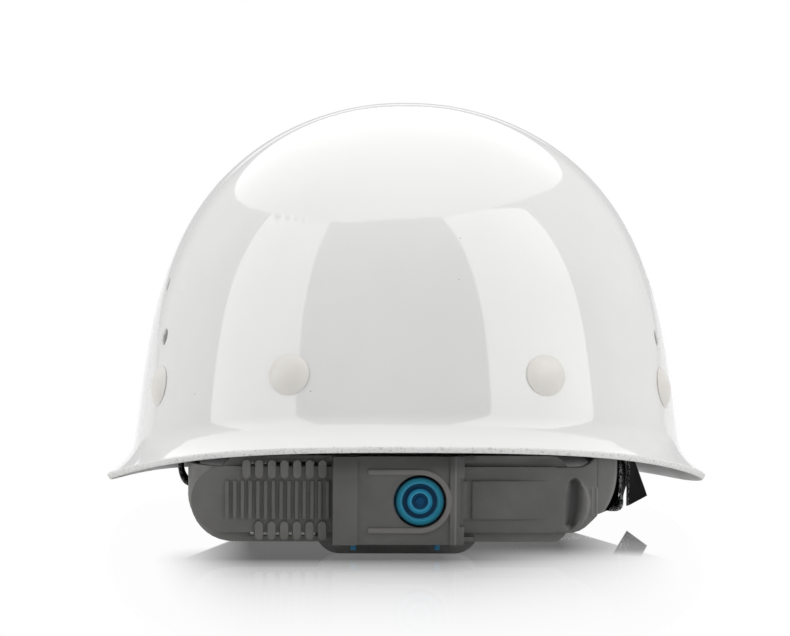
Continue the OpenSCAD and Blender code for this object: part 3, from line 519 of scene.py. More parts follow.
SHELL_GLOSS = gloss_white("shell_gloss_white", (0.760, 0.760, 0.752), (0.735, 0.735, 0.727))
# The inside's white is paler than the outer shell's: painted light from the floor's bounce under the brim; shadowed
# adds painted shade in the deep front
SHELL_INSIDE = satin_plastic("shell_inside_white_painted_light_and_shade", (0.82, 0.82, 0.81), (0.76, 0.76, 0.75), 0.38, 0.0016, 0.00006, 0.1,
                             shadowed)
SHELL_EDGE = cut_edge_white("brim_cut_edge")
CAP_WHITE = satin_plastic("rivet_cap_white", (0.76, 0.74, 0.70), (0.70, 0.68, 0.64), 0.30, 0.0006, 0.000008, 0.08)
BAND_GREY = satin_plastic("band_grey_satin", GREY, GREY_SHADE, *SATIN)
# The left band's grey is a paler copy of the band grey: painted light
LEFT_GREY_PAINTED_LIT = satin_plastic("left_band_grey_painted_lit", (0.146, 0.144, 0.140), (0.128, 0.126, 0.122), *SATIN)
# The thumb grip gets painted shade in its scoop and a painted highlight on its lip and ribs
GRIP_GREY = satin_plastic("grip_grey_satin", GREY, GREY_SHADE, *SATIN, painted_scoop_shade_and_lip_highlight)
# The side arm gets near black painted shade past a line
ARM_GREY = satin_plastic("arm_grey_painted_shade", GREY, GREY_SHADE, *SATIN, painted_shade_past_line)
dull_painted_shade(ARM_GREY)
# The housing gets a painted highlight on its ridge and corner, and a painted shadow under the brim
HOUSING_GREY = satin_plastic("housing_grey_satin", (0.108, 0.107, 0.104), (0.094, 0.093, 0.090), *SATIN, painted_ridge_highlight_and_brim_shadow)
# The nape plate's grey is a paler copy of the band grey: painted light from the floor's bounce
PLATE_GREY_PAINTED_LIT = satin_plastic("plate_grey_painted_lit", (0.150, 0.149, 0.146), (0.130, 0.129, 0.126), 0.42, 0.0004, 0.000015,
                           0.06)
HOOP_GREY = satin_plastic("hoop_grey_satin", (0.112, 0.110, 0.107), (0.094, 0.092, 0.089), 0.46, 0.0005, 0.00002, 0.08)
HOOP_BLACK = satin_plastic("hoop_black_satin", (0.016, 0.016, 0.016), (0.011, 0.011, 0.011), 0.48, 0.0005, 0.00002,
                           0.08)
LATCH_BLUE = satin_plastic("latch_blue", BLUE, BLUE_SHADE, 0.33, 0.0004, 0.000008, 0.2)
# The button's rings get painted highlights and painted shade
BUTTON_BLUE = satin_plastic("button_blue", BLUE, BLUE_SHADE, 0.30, 0.0004, 0.000008, 0.1, painted_button_ring_light)
feed(BUTTON_BLUE.node_tree.nodes["Principled BSDF"], Specular_IOR_Level=0.12)
CHIN_BLACK = satin_plastic("chin_buckle_black", (0.014, 0.014, 0.015), (0.022, 0.022, 0.023), 0.38, 0.0005, 0.000025,
                           0.2)
CHIN_WEB = webbing_cloth("chin_webbing_black", (0.010, 0.010, 0.010), (0.016, 0.016, 0.016), 0.0008, CHIN_W)
CHIN_WORN = webbing_cloth("chin_webbing_worn", (0.012, 0.012, 0.012), (0.018, 0.018, 0.018), 0.0008, CHIN_W,
                          worn_from=0.15, worn=0.80)
CROWN_WEB = webbing_cloth("crown_webbing_black", (0.020, 0.020, 0.021), (0.030, 0.030, 0.031), 0.0011, WEBBING_W,
                          worn=0.06)
PAD_CLOTH = padded_cloth("brow_pad_cloth", (0.020, 0.020, 0.022), (0.034, 0.034, 0.036))
SPRING_STEEL = bright_steel("drawn_steel")


# Mesh helpers


def clamp(share):
    return min(1.0, max(0.0, share))


def place_object(name, data):
    thing = bpy.data.objects.new(name, data)
    bpy.context.scene.collection.objects.link(thing)
    return thing


def new_piece(name, vertices, faces, materials, smooth=True, sharp_angle=None, face_slots=None, uvs=None):
    mesh = bpy.data.meshes.new(name)
    mesh.from_pydata([tuple(map(float, v)) for v in vertices], [], [tuple(map(int, f)) for f in faces])
    for material in materials:
        mesh.materials.append(material)
    if face_slots is not None:
        mesh.polygons.foreach_set("material_index", face_slots)
    if uvs is not None:
        layer = mesh.uv_layers.new(name="UVMap")
        for loop in mesh.loops:
            layer.data[loop.index].uv = uvs[loop.vertex_index]
    mesh.validate()
    if smooth:
        mesh.shade_smooth()
        if sharp_angle is not None:
            mesh.set_sharp_from_angle(angle=radians(sharp_angle))
    return place_object(name, mesh)


def apply_modifiers(piece):
    """Turns the piece's modifiers into plain mesh."""
    bpy.context.view_layer.update()
    evaluated = piece.evaluated_get(bpy.context.evaluated_depsgraph_get())
    mesh = bpy.data.meshes.new_from_object(evaluated)
    old = piece.data
    piece.modifiers.clear()
    piece.data = mesh
    mesh.name = piece.name
    bpy.data.meshes.remove(old)


def add_modifier(piece, name, kind, **settings):
    modifier = piece.modifiers.new(name, kind)
    for key, value in settings.items():
        setattr(modifier, key, value)


def shade(piece, sharp_angle):
    """Smooth shading, with edges sharp above an angle."""
    piece.data.shade_smooth()
    piece.data.set_sharp_from_angle(angle=radians(sharp_angle))


def cut_out(piece, cutters, **settings):
    """Cuts the cutters out of a piece and removes them."""
    for cutter in cutters:
        add_modifier(piece, "cut", "BOOLEAN", operation="DIFFERENCE", solver="EXACT", object=cutter, **settings)
    apply_modifiers(piece)
    for cutter in cutters:
        bpy.data.objects.remove(cutter)


def finish_piece(piece, body, slot_name, *nodes):
    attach(piece, body)
    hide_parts(*nodes)


def grid_faces(rows, columns, first=0, flip=False):
    """Quads between rows of points, closed round each row."""
    faces = []
    for j in range(rows - 1):
        for i in range(columns):
            k = (i + 1) % columns
            a, b = first + j * columns + i, first + j * columns + k
            quad = (a, b, b + columns, a + columns)
            faces.append(quad[::-1] if flip else quad)
    return faces


def tube_faces(rows, columns, flip=False):
    """Quads between rows of points, closed round each row, with a face over each end."""
    ends = [tuple(range(columns - 1, -1, -1)), tuple(range((rows - 1) * columns, rows * columns))]
    return grid_faces(rows, columns, flip=flip) + [end[::-1] if flip else end for end in ends]


def softened(name, node, material, edge, reshape=None):
    """A copy of a rigid solid with its moulded edges rounded and its curves smoothly shaded."""
    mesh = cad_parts[node].data.copy()
    mesh.name = name
    mesh.materials.clear()
    mesh.materials.append(material)
    work = bmesh.new()
    work.from_mesh(mesh)
    bmesh.ops.remove_doubles(work, verts=work.verts, dist=1e-6)
    bmesh.ops.dissolve_limit(work, angle_limit=radians(0.5), verts=work.verts, edges=work.edges)
    if reshape is not None:
        reshape(work)
    for face in work.faces:
        face.material_index = 0
        face.smooth = True
    work.to_mesh(mesh)
    work.free()
    piece = place_object(name, mesh)
    add_modifier(piece, "rounded_edges", "BEVEL", width=edge, segments=2, limit_method="ANGLE",
                 angle_limit=radians(35))
    apply_modifiers(piece)
    shade(piece, 28)
    return piece


# Shell

ROUND_STEPS = 288
BRIM_ROWS = 16
DOME_ROWS = 64


def make_shell():
    """The glossy shell, its rounded brim edge and its four chamfered vents."""
    rows = BRIM_ROWS + DOME_ROWS
    brim = BRIM_SHARE * np.arange(BRIM_ROWS) / BRIM_ROWS
    dome = BRIM_SHARE + (1 - BRIM_SHARE) * np.arange(DOME_ROWS) / DOME_ROWS
    a, v = np.meshgrid(np.arange(ROUND_STEPS) * 2 * pi / ROUND_STEPS, np.concatenate([brim, dome]))
    outer = row_point(a, v).reshape(-1, 3)
    inner = outer - SHELL_WALL * row_normal(a, v).reshape(-1, 3)
    crown = np.array([0, DOME_Y, CROWN_HEIGHT])
    count = rows * ROUND_STEPS
    points = np.concatenate([outer, inner, [crown, crown - [0, 0, SHELL_WALL]]])
    points = points @ np.array(LAID.to_3x3()).T + np.array(LAID.translation)
    faces = grid_faces(rows, ROUND_STEPS) + grid_faces(rows, ROUND_STEPS, count, flip=True)
    slots = [0] * (len(faces) // 2) + [1] * (len(faces) // 2)
    last = (rows - 1) * ROUND_STEPS
    for i in range(ROUND_STEPS):
        k = (i + 1) % ROUND_STEPS
        faces += [(last + i, last + k, 2 * count), (count + last + k, count + last + i, 2 * count + 1)]
        faces.append((k, i, count + i, count + k))
        slots += [0, 1, 2]
    piece = new_piece("shell_with_brim", points, faces, [SHELL_GLOSS, SHELL_INSIDE, SHELL_EDGE], face_slots=slots)
    weights = piece.data.attributes.new("bevel_weight_edge", "FLOAT", "EDGE")
    rim = [1.0 if all(i % count < ROUND_STEPS and i < 2 * count for i in e.vertices)
           and (e.vertices[0] < count) == (e.vertices[1] < count) else 0.0 for e in piece.data.edges]
    weights.data.foreach_set("value", rim)
    add_modifier(piece, "rounded_rim", "BEVEL", limit_method="WEIGHT", width=0.0006, segments=3,
                 use_clamp_overlap=False, material=2)
    bore, chamfer, inward, outward = VENT_D / 2, 0.0009, -0.008, 0.004
    profile = [(0, inward), (bore, inward), (bore, -0.0006), (bore + chamfer, 0.0004), (bore + chamfer, outward),
               (0, outward)]
    cutters = []
    for angle, z in VENT_PLACES:
        for place in (angle, 180 - angle):
            cutters.append(lathe("vent_cutter", profile, 48, SHELL_EDGE))
            cutters[-1].matrix_world = on_shell(place, z)
    cut_out(piece, cutters, material_mode="TRANSFER")
    shade(piece, 32)
    finish_piece(piece, "helmet", "shell_white", "shell")


def lathe(name, profile, steps, material, sharp_angle=None):
    """A turned piece about Z from points (radius, height), closed on the axis."""
    ring = [(r, z) for r, z in profile if r > 0]
    points = [(r * cos(2 * pi * i / steps), r * sin(2 * pi * i / steps), z) for r, z in ring for i in range(steps)]
    faces = grid_faces(len(ring), steps)
    if profile[0][0] == 0:
        points.append((0, 0, profile[0][1]))
        faces += [((i + 1) % steps, i, len(points) - 1) for i in range(steps)]
    if profile[-1][0] == 0:
        points.append((0, 0, profile[-1][1]))
        last = (len(ring) - 1) * steps
        faces += [(last + i, last + (i + 1) % steps, len(points) - 1) for i in range(steps)]
    return new_piece(name, points, faces, [material], sharp_angle=sharp_angle)


def join_pieces(name, pieces):
    """One piece from several, in place."""
    for piece in bpy.context.selected_objects:
        piece.select_set(False)
    for piece in pieces:
        piece.select_set(True)
    bpy.context.view_layer.objects.active = pieces[0]
    bpy.ops.object.join()
    pieces[0].name = name
    pieces[0].data.name = name
    return pieces[0]


def make_rivet_caps():
    """Domed caps with a rolled edge, on short shanks."""
    rim_r, shank_r, roll, arc_steps = CAP_D / 2, 0.0026, 0.0005, 16
    crown_r = (rim_r ** 2 + CAP_H ** 2) / (2 * CAP_H)
    rim_angle = atan2(rim_r - roll, crown_r - CAP_H)
    profile = [(shank_r, -0.0080), (shank_r, -0.0003), (rim_r - 0.0006, -0.0004), (rim_r - 0.0001, -0.0002),
               (rim_r, 0.0001)]
    for i in range(arc_steps):
        w = rim_angle * (1 - i / arc_steps)
        profile.append((crown_r * sin(w), crown_r * cos(w) - (crown_r - CAP_H)))
    profile.append((0, CAP_H))
    caps = []
    for place in RIVET_PLACES:
        caps.append(lathe("rivet_cap", profile, 72, CAP_WHITE, 50))
        caps[-1].data.transform(on_shell(*place))
    finish_piece(join_pieces("rivet_caps_domed", caps), "helmet", "cap_white", "rivet_caps")


# Webbing


def reach_along(path):
    """Distance from the path's start to each of its points."""
    return np.concatenate([[0], np.cumsum(np.linalg.norm(np.diff(path, axis=0), axis=1))])


def strap_mesh(name, path, across, width, material, rounded=4):
    """Flat webbing along a path of points; across gives its width's direction at each point."""
    path = np.array(path, float)
    across = unit(np.broadcast_to(np.array(across, float), path.shape))
    along = unit(np.gradient(path, axis=0))
    normal = unit(np.cross(along, across))
    edge = WEBBING_T / 2
    section = []
    for s in (1, -1):
        for i in range(rounded + 1):
            w = pi / 2 - pi * i / rounded
            section.append((s * (width / 2 - edge + edge * cos(w)), s * edge * sin(w)))
        section += [(s * (width / 2 - edge) * f, -s * edge) for f in (0.6, 0.2, -0.2, -0.6)]
    section = np.array(section)
    points = [p + c * u + h * n for p, u, n in zip(path, across, normal) for c, h in section]
    uvs = [(r, c) for r in reach_along(path) for c, h in section]
    faces = tube_faces(len(path), len(section), flip=True)
    return new_piece(name, points, faces, [material], sharp_angle=60, uvs=uvs)


def smooth_path(points, steps):
    """Evenly spaced points on a smooth curve through the given ones."""
    points = np.array(points, float)
    knots = np.concatenate([[0], np.cumsum(np.linalg.norm(np.diff(points, axis=0), axis=1) ** 0.5)])
    padded = np.concatenate([[2 * points[0] - points[1]], points, [2 * points[-1] - points[-2]]])
    dense = []
    for i in range(len(points) - 1):
        p0, p1, p2, p3 = padded[i:i + 4]
        h = knots[i + 1] - knots[i]
        before = knots[i] - knots[i - 1] if i else h
        after = knots[i + 2] - knots[i + 1] if i + 2 < len(knots) else h
        m1 = ((p1 - p0) / before - (p2 - p0) / (before + h) + (p2 - p1) / h) * h
        m2 = ((p2 - p1) / h - (p3 - p1) / (h + after) + (p3 - p2) / after) * h
        for t in np.linspace(0, 1, 24, endpoint=False):
            dense.append((2 * t ** 3 - 3 * t ** 2 + 1) * p1 + (t ** 3 - 2 * t ** 2 + t) * m1
                         + (3 * t ** 2 - 2 * t ** 3) * p2 + (t ** 3 - t ** 2) * m2)
    dense = np.array(dense + [points[-1]])
    reach = reach_along(dense)
    even = np.linspace(0, reach[-1], steps)
    return np.stack([np.interp(even, reach, dense[:, i]) for i in range(3)], -1)


def anchor_grip(angle, z):
    """Point inside an anchor where a crown strap's end lies, in the helmet's own frame."""
    a = radians(angle)
    n = Vector(shell_normal(np.array(a), np.array(z)))
    down = Vector((n.x * n.z, n.y * n.z, -(n.x ** 2 + n.y ** 2))).normalized()
    return Vector(shell_point(np.array(a), np.array(z))) - ANCHOR_BACK * n - (ANCHOR_HALF - STRAP_BITE) * down


def make_crown_strap(side, first, second, drop, bow):
    """Crown webbing that rises from one anchor and comes down to the other."""
    a, b = anchor_grip(*RIVET_PLACES[first]), anchor_grip(*RIVET_PLACES[second])
    half = (b.xy - a.xy).length / 2
    top = CROWN_HEIGHT - SHELL_WALL - CROWN_ROOM - drop
    foot = min(a.z, b.z)
    lean = (b.z - a.z) / (2 * half)
    grow, steps = -WEBBING_T / 2, 72
    path = []
    for i in range(steps + 1):
        w = pi * (1 - i / steps)
        c, s = float(signed_power(cos(w), 2 / bow)), abs(sin(w)) ** (2 / bow)
        path.append(((half + grow) * c, 0, (a.z + b.z) / 2 + lean * half * c * (1 - s) + (top + grow - foot) * s))
    place = (LAID @ Matrix.Translation(((a.x + b.x) / 2, (a.y + b.y) / 2, 0))
             @ Matrix.Rotation(atan2(b.y - a.y, b.x - a.x), 4, "Z"))
    across = place.to_3x3() @ Vector((0, 1, 0))
    strap = strap_mesh("crown_webbing_" + side, [place @ Vector(p) for p in path], across, WEBBING_W, CROWN_WEB)
    finish_piece(strap, "helmet", "crown_webbing", "crown_strap_" + side)


def hoop_point(w, inset):
    return (HOOP_X + (HOOP_OUT - inset) * float(signed_power(cos(w), 2 / HOOP_POWER)),
            HOOP_MID_Y + (HOOP_FRONT_Y - HOOP_MID_Y - inset) * float(signed_power(sin(w), 2 / HOOP_POWER)))


def make_brow_pad():
    """Foam pad with a crowned face, drawn-in ends and sewn cross channels."""
    start, end = radians(22), radians(158)
    steps, ring = 140, 28
    end_share, cells, hoop_radius, channel_width = 0.04, 9, 0.085, 0.0016
    low, high = HOOP_Z - PAD_OVER, HOOP_Z + HOOP_H + PAD_OVER
    inset = HOOP_T + 0.0003 + PAD_T / 2
    points = []
    for i in range(steps + 1):
        f = i / steps
        w = start + (end - start) * f
        face = 1 - 0.35 * max(0, 1 - min(f, 1 - f) / end_share) ** 2
        near = abs(f * cells - round(f * cells)) / cells * (end - start) * hoop_radius
        channel = 1 - 0.42 * np.exp(-(near / channel_width) ** 2)
        for k in range(ring):
            t = 2 * pi * k / ring
            across = signed_power(cos(t), 0.55)
            depth = signed_power(sin(t), 0.75)
            z = (low + high) / 2 + across * (high - low) / 2 * (0.985 + 0.015 * face)
            swell = PAD_T / 2 * (1.0 if depth < 0 else face * channel)
            points.append((*hoop_point(w, inset + depth * swell), z))
    pad = new_piece("brow_pad_sewn", points, tube_faces(steps + 1, ring), [PAD_CLOTH], sharp_angle=70)
    finish_piece(pad, "helmet", "pad_fabric", "brow_pad")


TAB_FACE_RIGHT = HOOP_X + 0.0762
TAB_FACE_LEFT = HOOP_X - 0.0762
BUCKLE_HALF = 0.019


def chin_paths():
    """Middle lines of the two stretches of chin webbing, from the tabs to the buckle."""
    r, l = TAB_FACE_RIGHT, TAB_FACE_LEFT
    right = [(r - 0.001, HANG_Z), (r + 0.0016, HANG_Z - 0.0001), (r + 0.0056, HANG_Z - 0.0016),
             (r + 0.0078, HANG_Z - 0.0050), (r + 0.0080, 0.0160), (r + 0.0078, 0.0110), (r + 0.0073, 0.0070),
             (r + 0.0062, 0.0047), (r + 0.0040, 0.0043), (r + 0.0010, 0.0046), (r - 0.005, CHIN_Z),
             (BUCKLE_HALF - 0.005, CHIN_Z)]
    left = [(l + 0.001, HANG_Z), (l - 0.0010, HANG_Z - 0.0001), (l - 0.0023, HANG_Z - 0.0018), (l - 0.0025, 0.0194),
            (l - 0.0018, 0.0162), (l - 0.0006, 0.0142), (l + 0.0012, 0.0131), (l + 0.0045, 0.0115), (l + 0.014, 0.0084),
            (l + 0.027, CHIN_Z), (-BUCKLE_HALF + 0.005, CHIN_Z)]
    return right, left


def make_chin_straps():
    """The two stretches, each leaning by some degrees where it hangs above the buckle."""
    right, left = chin_paths()
    for side, line, lean, cloth in (("right", right, 13, CHIN_WORN), ("left", left, 3, CHIN_WEB)):
        path = smooth_path([(x, CHIN_Y, z) for x, z in line], 150)
        turned = [unit(np.array([sin(radians(lean)) * clamp((z - CHIN_Z) / 0.006), 1.0, 0.0])) for z in path[:, 2]]
        strap = strap_mesh("chin_webbing_" + side, path, turned, CHIN_W, cloth)
        finish_piece(strap, "chin_strap", "chin_webbing", "chin_strap_" + side)


def make_chin_tail():
    """Loose end of the webbing, cut square, which turns as it hangs."""
    share = np.linspace(0, 1, 30)[:, None]

    def from_to(start, end):
        return np.array(start) * (1 - share) + np.array(end) * share

    path = from_to((0.0822, CHIN_Y - 0.002, 0.0245), (0.0852, CHIN_Y - 0.002, 0.0070))
    across = from_to((0.10, 0.99, 0.0), (0.545, 0.825, 0.15))
    tail = strap_mesh("chin_webbing_tail", path, across, CHIN_W, CHIN_WEB)
    finish_piece(tail, "chin_strap", "chin_webbing", "chin_strap_tail")


# Rigid pieces


def cut_loops(work, axis, start, end, step):
    """Adds edge loops across a copy, so that it can bend smoothly."""
    for f in np.arange(start, end, step):
        place, normal = [0, 0, 0], [0, 0, 0]
        place[axis], normal[axis] = f, 1
        bmesh.ops.bisect_plane(work, geom=work.verts[:] + work.edges[:] + work.faces[:], plane_co=place,
                               plane_no=normal, dist=1e-6)


def raise_top(work):
    """Brings the housing's top up close under the brim."""
    edge_depth, rise = 0.0012, 0.0010
    top = max(v.co.z for v in work.verts)
    for v in work.verts:
        if v.co.z > top - edge_depth:
            v.co.z += rise


def deepen_rings(work):
    """Sinks the grooves between the button's raised rim and ring."""
    low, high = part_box("release_button")
    middle = (low + high) / 2
    groove_r, depth = 0.0071, 0.00035
    for v in work.verts:
        off = sqrt((v.co.x - middle.x) ** 2 + (v.co.z - middle.z) ** 2)
        if off < groove_r and 0.0005 < v.co.y - low.y < 0.0009:
            v.co.y += depth


def make_rigid_pieces():
    rigid = [
        ("anchors_moulded", "strap_anchors", HOOP_GREY, "band_grey", "helmet", 0.0004),
        ("hoop_moulded", "front_hoop", HOOP_BLACK, "band_grey", "helmet", 0.0004),
        ("hangers_moulded", "hoop_hangers", HOOP_GREY, "band_grey", "helmet", 0.0003),
        ("left_band_moulded", "left_nape_band", LEFT_GREY_PAINTED_LIT, "band_grey", "helmet", 0.00025),
        ("band_studs_moulded", "band_studs", HOOP_GREY, "band_grey", "helmet", 0.0003),
        ("housing_moulded", "adjuster_housing", HOUSING_GREY, "band_grey", "helmet", 0.00022, raise_top),
        ("nape_plate_moulded", "nape_plate", PLATE_GREY_PAINTED_LIT, "band_grey", "helmet", 0.0005),
        ("latch_carrier_moulded", "latch_carrier", LATCH_BLUE, "latch_blue", "helmet", 0.00015),
        ("pawl_lever_moulded", "pawl_lever", LATCH_BLUE, "latch_blue", "pawl", 0.00015),
        ("pawl_pin_turned", "pawl_pin", SPRING_STEEL, "spring_steel", "helmet", 0.0002),
        ("chin_studs_moulded", "chin_studs", HOOP_GREY, "band_grey", "helmet", 0.0003),
        ("chin_tabs_moulded", "chin_tabs", CHIN_BLACK, "chin_plastic", "chin_strap", 0.0003),
        ("slider_moulded", "strap_slider", CHIN_BLACK, "chin_plastic", "chin_strap", 0.0003),
        ("buckle_socket_moulded", "buckle_body", CHIN_BLACK, "chin_plastic", "chin_strap", 0.0005),
        ("buckle_plug_moulded", "buckle_insert", CHIN_BLACK, "chin_plastic", "chin_strap", 0.0005),
        ("button_moulded", "release_button", BUTTON_BLUE, "latch_blue", "button", 0.00022, deepen_rings),
    ]
    for name, node, material, slot_name, body, *edge_and_shape in rigid:
        finish_piece(softened(name, node, material, *edge_and_shape), body, slot_name, node)


GRIP_START = 0.0485
BEND_X, BEND_Y, BEND_R = 0.054, -0.0997, 0.018
GRIP_TURN = radians(31)
STRAP_T = 0.002
STRAP_HIGH, ARM_TOP = 0.0312, 0.0352
# Line where the arm's painted shade begins: its top, and how it slants lower down
SHADE_LINE_TOP_X, SHADE_LINE_TOP_Z, SHADE_LINE_SLANT = 0.0708, 0.030, 119.0


def top_lift(x, y):
    """How far the strap's top edge rises as it turns forward under the brim."""
    rise = min(0.0034, 0.0021 * (max(0.0, x - 0.0565) / 0.005) ** 2)
    back = clamp((-0.098 - y) / 0.014)
    return rise * back * back * (3 - 2 * back)


def grip_relief(x, z):
    """Depth of the thumb scoop, height of its lip and height of the ribs, at millimetres x and z of the strap."""
    left = np.interp(z, [9.2, 10.7, 15.8, 20.7, 26.2, 27.6], [52.2, 51.4, 51.2, 51.6, 52.8, 54.4])
    right = np.interp(z, [9.2, 9.6, 12.3, 15.8, 19.3, 23.2, 26.2, 27.6],
                      [54.4, 55.2, 57.0, 58.1, 58.4, 58.1, 57.1, 56.2])
    crest = np.interp(z, [8.5, 10.3, 12.7, 15.7, 19.2, 22.7, 26.2, 27.5],
                      [55.2, 56.9, 58.4, 59.4, 59.6, 59.0, 57.0, 55.6])
    ends = clamp((z - 8.8) / 2.2) * clamp((27.8 - z) / 2.0)
    scoop = ends * sin(pi * clamp((x - left) / max(0.3, right - left)) ** 1.15) ** 1.1
    swell = sin(pi * clamp((z - 8.5) / 19.2))
    lip = swell ** 0.7 * np.exp(-1.2 * ((x - crest) / (0.45 + 0.55 * swell)) ** 2)
    tall = clamp((z - 13.6) / 1.2) * clamp((24.2 - z) / 1.2)
    ribs = tall * max(np.exp(-((x - c) / 0.42) ** 2) for c in (61.3, 63.0))
    return scoop, lip, ribs


def make_size_strap():
    """Size strap with its rack and spine, and the thumb grip pressed into the start of its bend."""
    strap = softened("strap_with_rack", "size_strap", BAND_GREY, 0.00022)
    far, wide = 0.1, 0.03
    corners = [(x, y, z) for x in (GRIP_START, far) for y in (BEND_Y - wide, BEND_Y + wide) for z in (-wide, 2 * wide)]
    sides = [(0, 1, 3, 2), (4, 6, 7, 5), (0, 4, 5, 1), (2, 3, 7, 6), (0, 2, 6, 4), (1, 5, 7, 3)]
    cut_out(strap, [new_piece("grip_cutter", corners, sides, [BAND_GREY], smooth=False)])
    shade(strap, 28)
    points, uvs = [], []
    columns, rows = 96, 112
    for i in range(columns + 1):
        u = (GRIP_START - BEND_X) + (BEND_X - GRIP_START + BEND_R * GRIP_TURN) * i / columns
        w = max(0.0, u / BEND_R)
        x, y = BEND_X + (u if u < 0 else BEND_R * sin(w)), BEND_Y - BEND_R * cos(w)
        foot = np.interp(1000 * x, [48.5, 54.5, 57, 59, 61.5, 63.5], [8.0, 8.0, 8.7, 9.8, 11.9, 13.7]) / 1000
        top = STRAP_HIGH + top_lift(x, y)
        front, back = [], []
        for k in range(rows + 1):
            z = foot + (top - foot) * k / rows
            scoop, lip, ribs = grip_relief(1000 * x, 1000 * z)
            near = max(0.0, 1 - min(z - foot, top - z) / 0.0005)
            raised = 0.001 * (-1.7 * scoop + 1.15 * lip + 0.5 * ribs) - 0.00035 * near ** 2
            sunk = -STRAP_T - 0.001 * 1.1 * scoop + 0.0003 * near ** 2
            front.append((x + raised * sin(w), y - raised * cos(w), z))
            back.append((x + sunk * sin(w), y - sunk * cos(w), z))
            # UV holds the shares of painted shade in the scoop and of painted highlight on the lip and ribs
            uvs.append((min(1.0, 1.15 * scoop ** 0.8), min(1.0, 0.75 * lip + 0.55 * ribs)))
        points += front + back[::-1]
        uvs += [(0.0, 0.0)] * (rows + 1)
    count = 2 * (rows + 1)
    faces = grid_faces(columns + 1, count)
    faces += [tuple(range(count)), tuple(range(columns * count, (columns + 1) * count))]
    grip = new_piece("thumb_grip", points, faces, [GRIP_GREY], uvs=uvs)
    work = bmesh.new()
    work.from_mesh(grip.data)
    bmesh.ops.recalc_face_normals(work, faces=work.faces)
    work.to_mesh(grip.data)
    work.free()
    grip.data.set_sharp_from_angle(angle=radians(50))
    finish_piece(join_pieces("size_strap_moulded", [strap, grip]), "size_strap", "band_grey", "size_strap")


def make_side_arm():
    """Stretch of strap between the thumb grip and the front hoop, with near black painted shade past a line."""
    def cut_and_lift(work):
        cut_loops(work, 1, -0.116, -0.058, 0.0025)
        cut_loops(work, 2, 0.010, 0.031, 0.0016)
        for v in work.verts:
            if v.co.z > 0.029:
                v.co.z = max(v.co.z, min(ARM_TOP, v.co.z + top_lift(v.co.x, v.co.y) + 0.0006))

    arm = softened("side_arm_flexing", "right_side_arm", ARM_GREY, 0.0002, cut_and_lift)
    # UV.x gives the distance past the painted shade's line
    layer = arm.data.uv_layers[0] if arm.data.uv_layers else arm.data.uv_layers.new(name="UVMap")
    for loop in arm.data.loops:
        x, y, z = arm.data.vertices[loop.vertex_index].co
        layer.data[loop.index].uv = (x - SHADE_LINE_TOP_X + SHADE_LINE_SLANT * max(0.0, SHADE_LINE_TOP_Z - z) ** 2.4, 0.0)
    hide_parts("right_side_arm")
    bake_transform(arm)


def make_return_spring():
    """Wound wire spring behind the lever's short arm."""
    low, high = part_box("return_spring")
    centre = (low + high) / 2
    wire, turns, steps, sides = 0.00022, 5, 20, 8
    coil_r = (high.x - low.x) / 2 - wire
    points = []
    total = turns * steps
    for i in range(total + 1):
        w = 2 * pi * i / steps
        y = low.y + wire + (high.y - low.y - 2 * wire) * i / total
        middle = Vector((centre.x + coil_r * cos(w), y, centre.z + coil_r * sin(w)))
        radial = Vector((cos(w), 0, sin(w)))
        for k in range(sides):
            t = 2 * pi * k / sides
            points.append(middle + wire * (cos(t) * radial + sin(t) * Vector((0, 1, 0))))
    spring = new_piece("return_spring_wound", points, tube_faces(total + 1, sides), [SPRING_STEEL])
    finish_piece(spring, "helmet", "spring_steel", "return_spring")
    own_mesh(spring)


make_shell()
make_rivet_caps()
make_crown_strap("left_front", 1, 4, 2 * STRAP_LAYER, 2.2)
make_crown_strap("right_front", 0, 5, STRAP_LAYER, 2.2)
make_crown_strap("side", 3, 2, -1.5 * STRAP_LAYER, 1.5)
make_brow_pad()
make_chin_straps()
make_chin_tail()
make_rigid_pieces()
make_size_strap()
make_side_arm()
make_return_spring()


# Floor, lights and camera

CEILING = (-0.12, 2.2, 1.3)
CEILING_WIDTH, CEILING_DEPTH = 2.64, 5.3


def make_floor_mask():
    """How much of the mirror image the floor keeps: all under the helmet, fading in front of it and at its sides."""
    group, take, give = new_group("floor_mirror_share", {}, ["Share"])
    x, y, z = coordinates(group, "Object")
    leftward = times(x, -1.0)

    def line(across, along, slant):
        """A line across the floor that slants with the distance from the place along it."""
        return plus(across, times(plus(y, along), slant))

    # In front of the helmet the image fades, at once a little and then slowly
    ahead = calc("MAXIMUM", minus(-0.128, y), 0.0)
    near = times(calc("EXPONENT", times(ahead, -80.0)), 0.07)
    fade = times(calc("EXPONENT", times(ahead, -17.0)), plus(near, 0.80))
    front = times(fade, times(falloff(leftward, 0.054, 0.096), slope(x, 0.008, 0.091, 1.0, 0.0)))
    # Below the brim it is a wedge between two slanting lines
    wedge = times(falloff(line(leftward, 0.0857, 0.354), 0.0655, 0.0675),
                  falloff(line(x, 0.0584, 0.396), 0.0591, 0.0606))
    beside = times(times(wedge, 0.86), times(slope(leftward, 0.058, 0.096, 1.0, 0.0), slope(x, 0.052, 0.094, 1.0, 0.0)))
    inside = times(falloff(leftward, 0.060, 0.070), falloff(x, 0.050, 0.060))
    # The image of the chin strap's loose end lies apart, between three lines
    left_side, right_side, front_side = (line(x, 0.0525, slant) for slant in (-0.166, 0.102, -0.161))
    tail = times(times(ramp(left_side, 0.0788, 0.0793), falloff(right_side, 0.0788, 0.0793)),
                 times(falloff(front_side, 0.0891, 0.0896), slope(y, -0.121, -0.055, 0.62, 0.90)))
    tail = times(tail, ramp(y, -0.134, -0.100))
    back = mix(ramp(y, -0.030, -0.010), beside, inside)
    share = calc("MAXIMUM", mix(ramp(y, -0.134, -0.092), front, back), tail)
    feed(give, Share=times(calc("MAXIMUM", share, 0.02), falloff(y, 0.010, 0.060)))
    return group


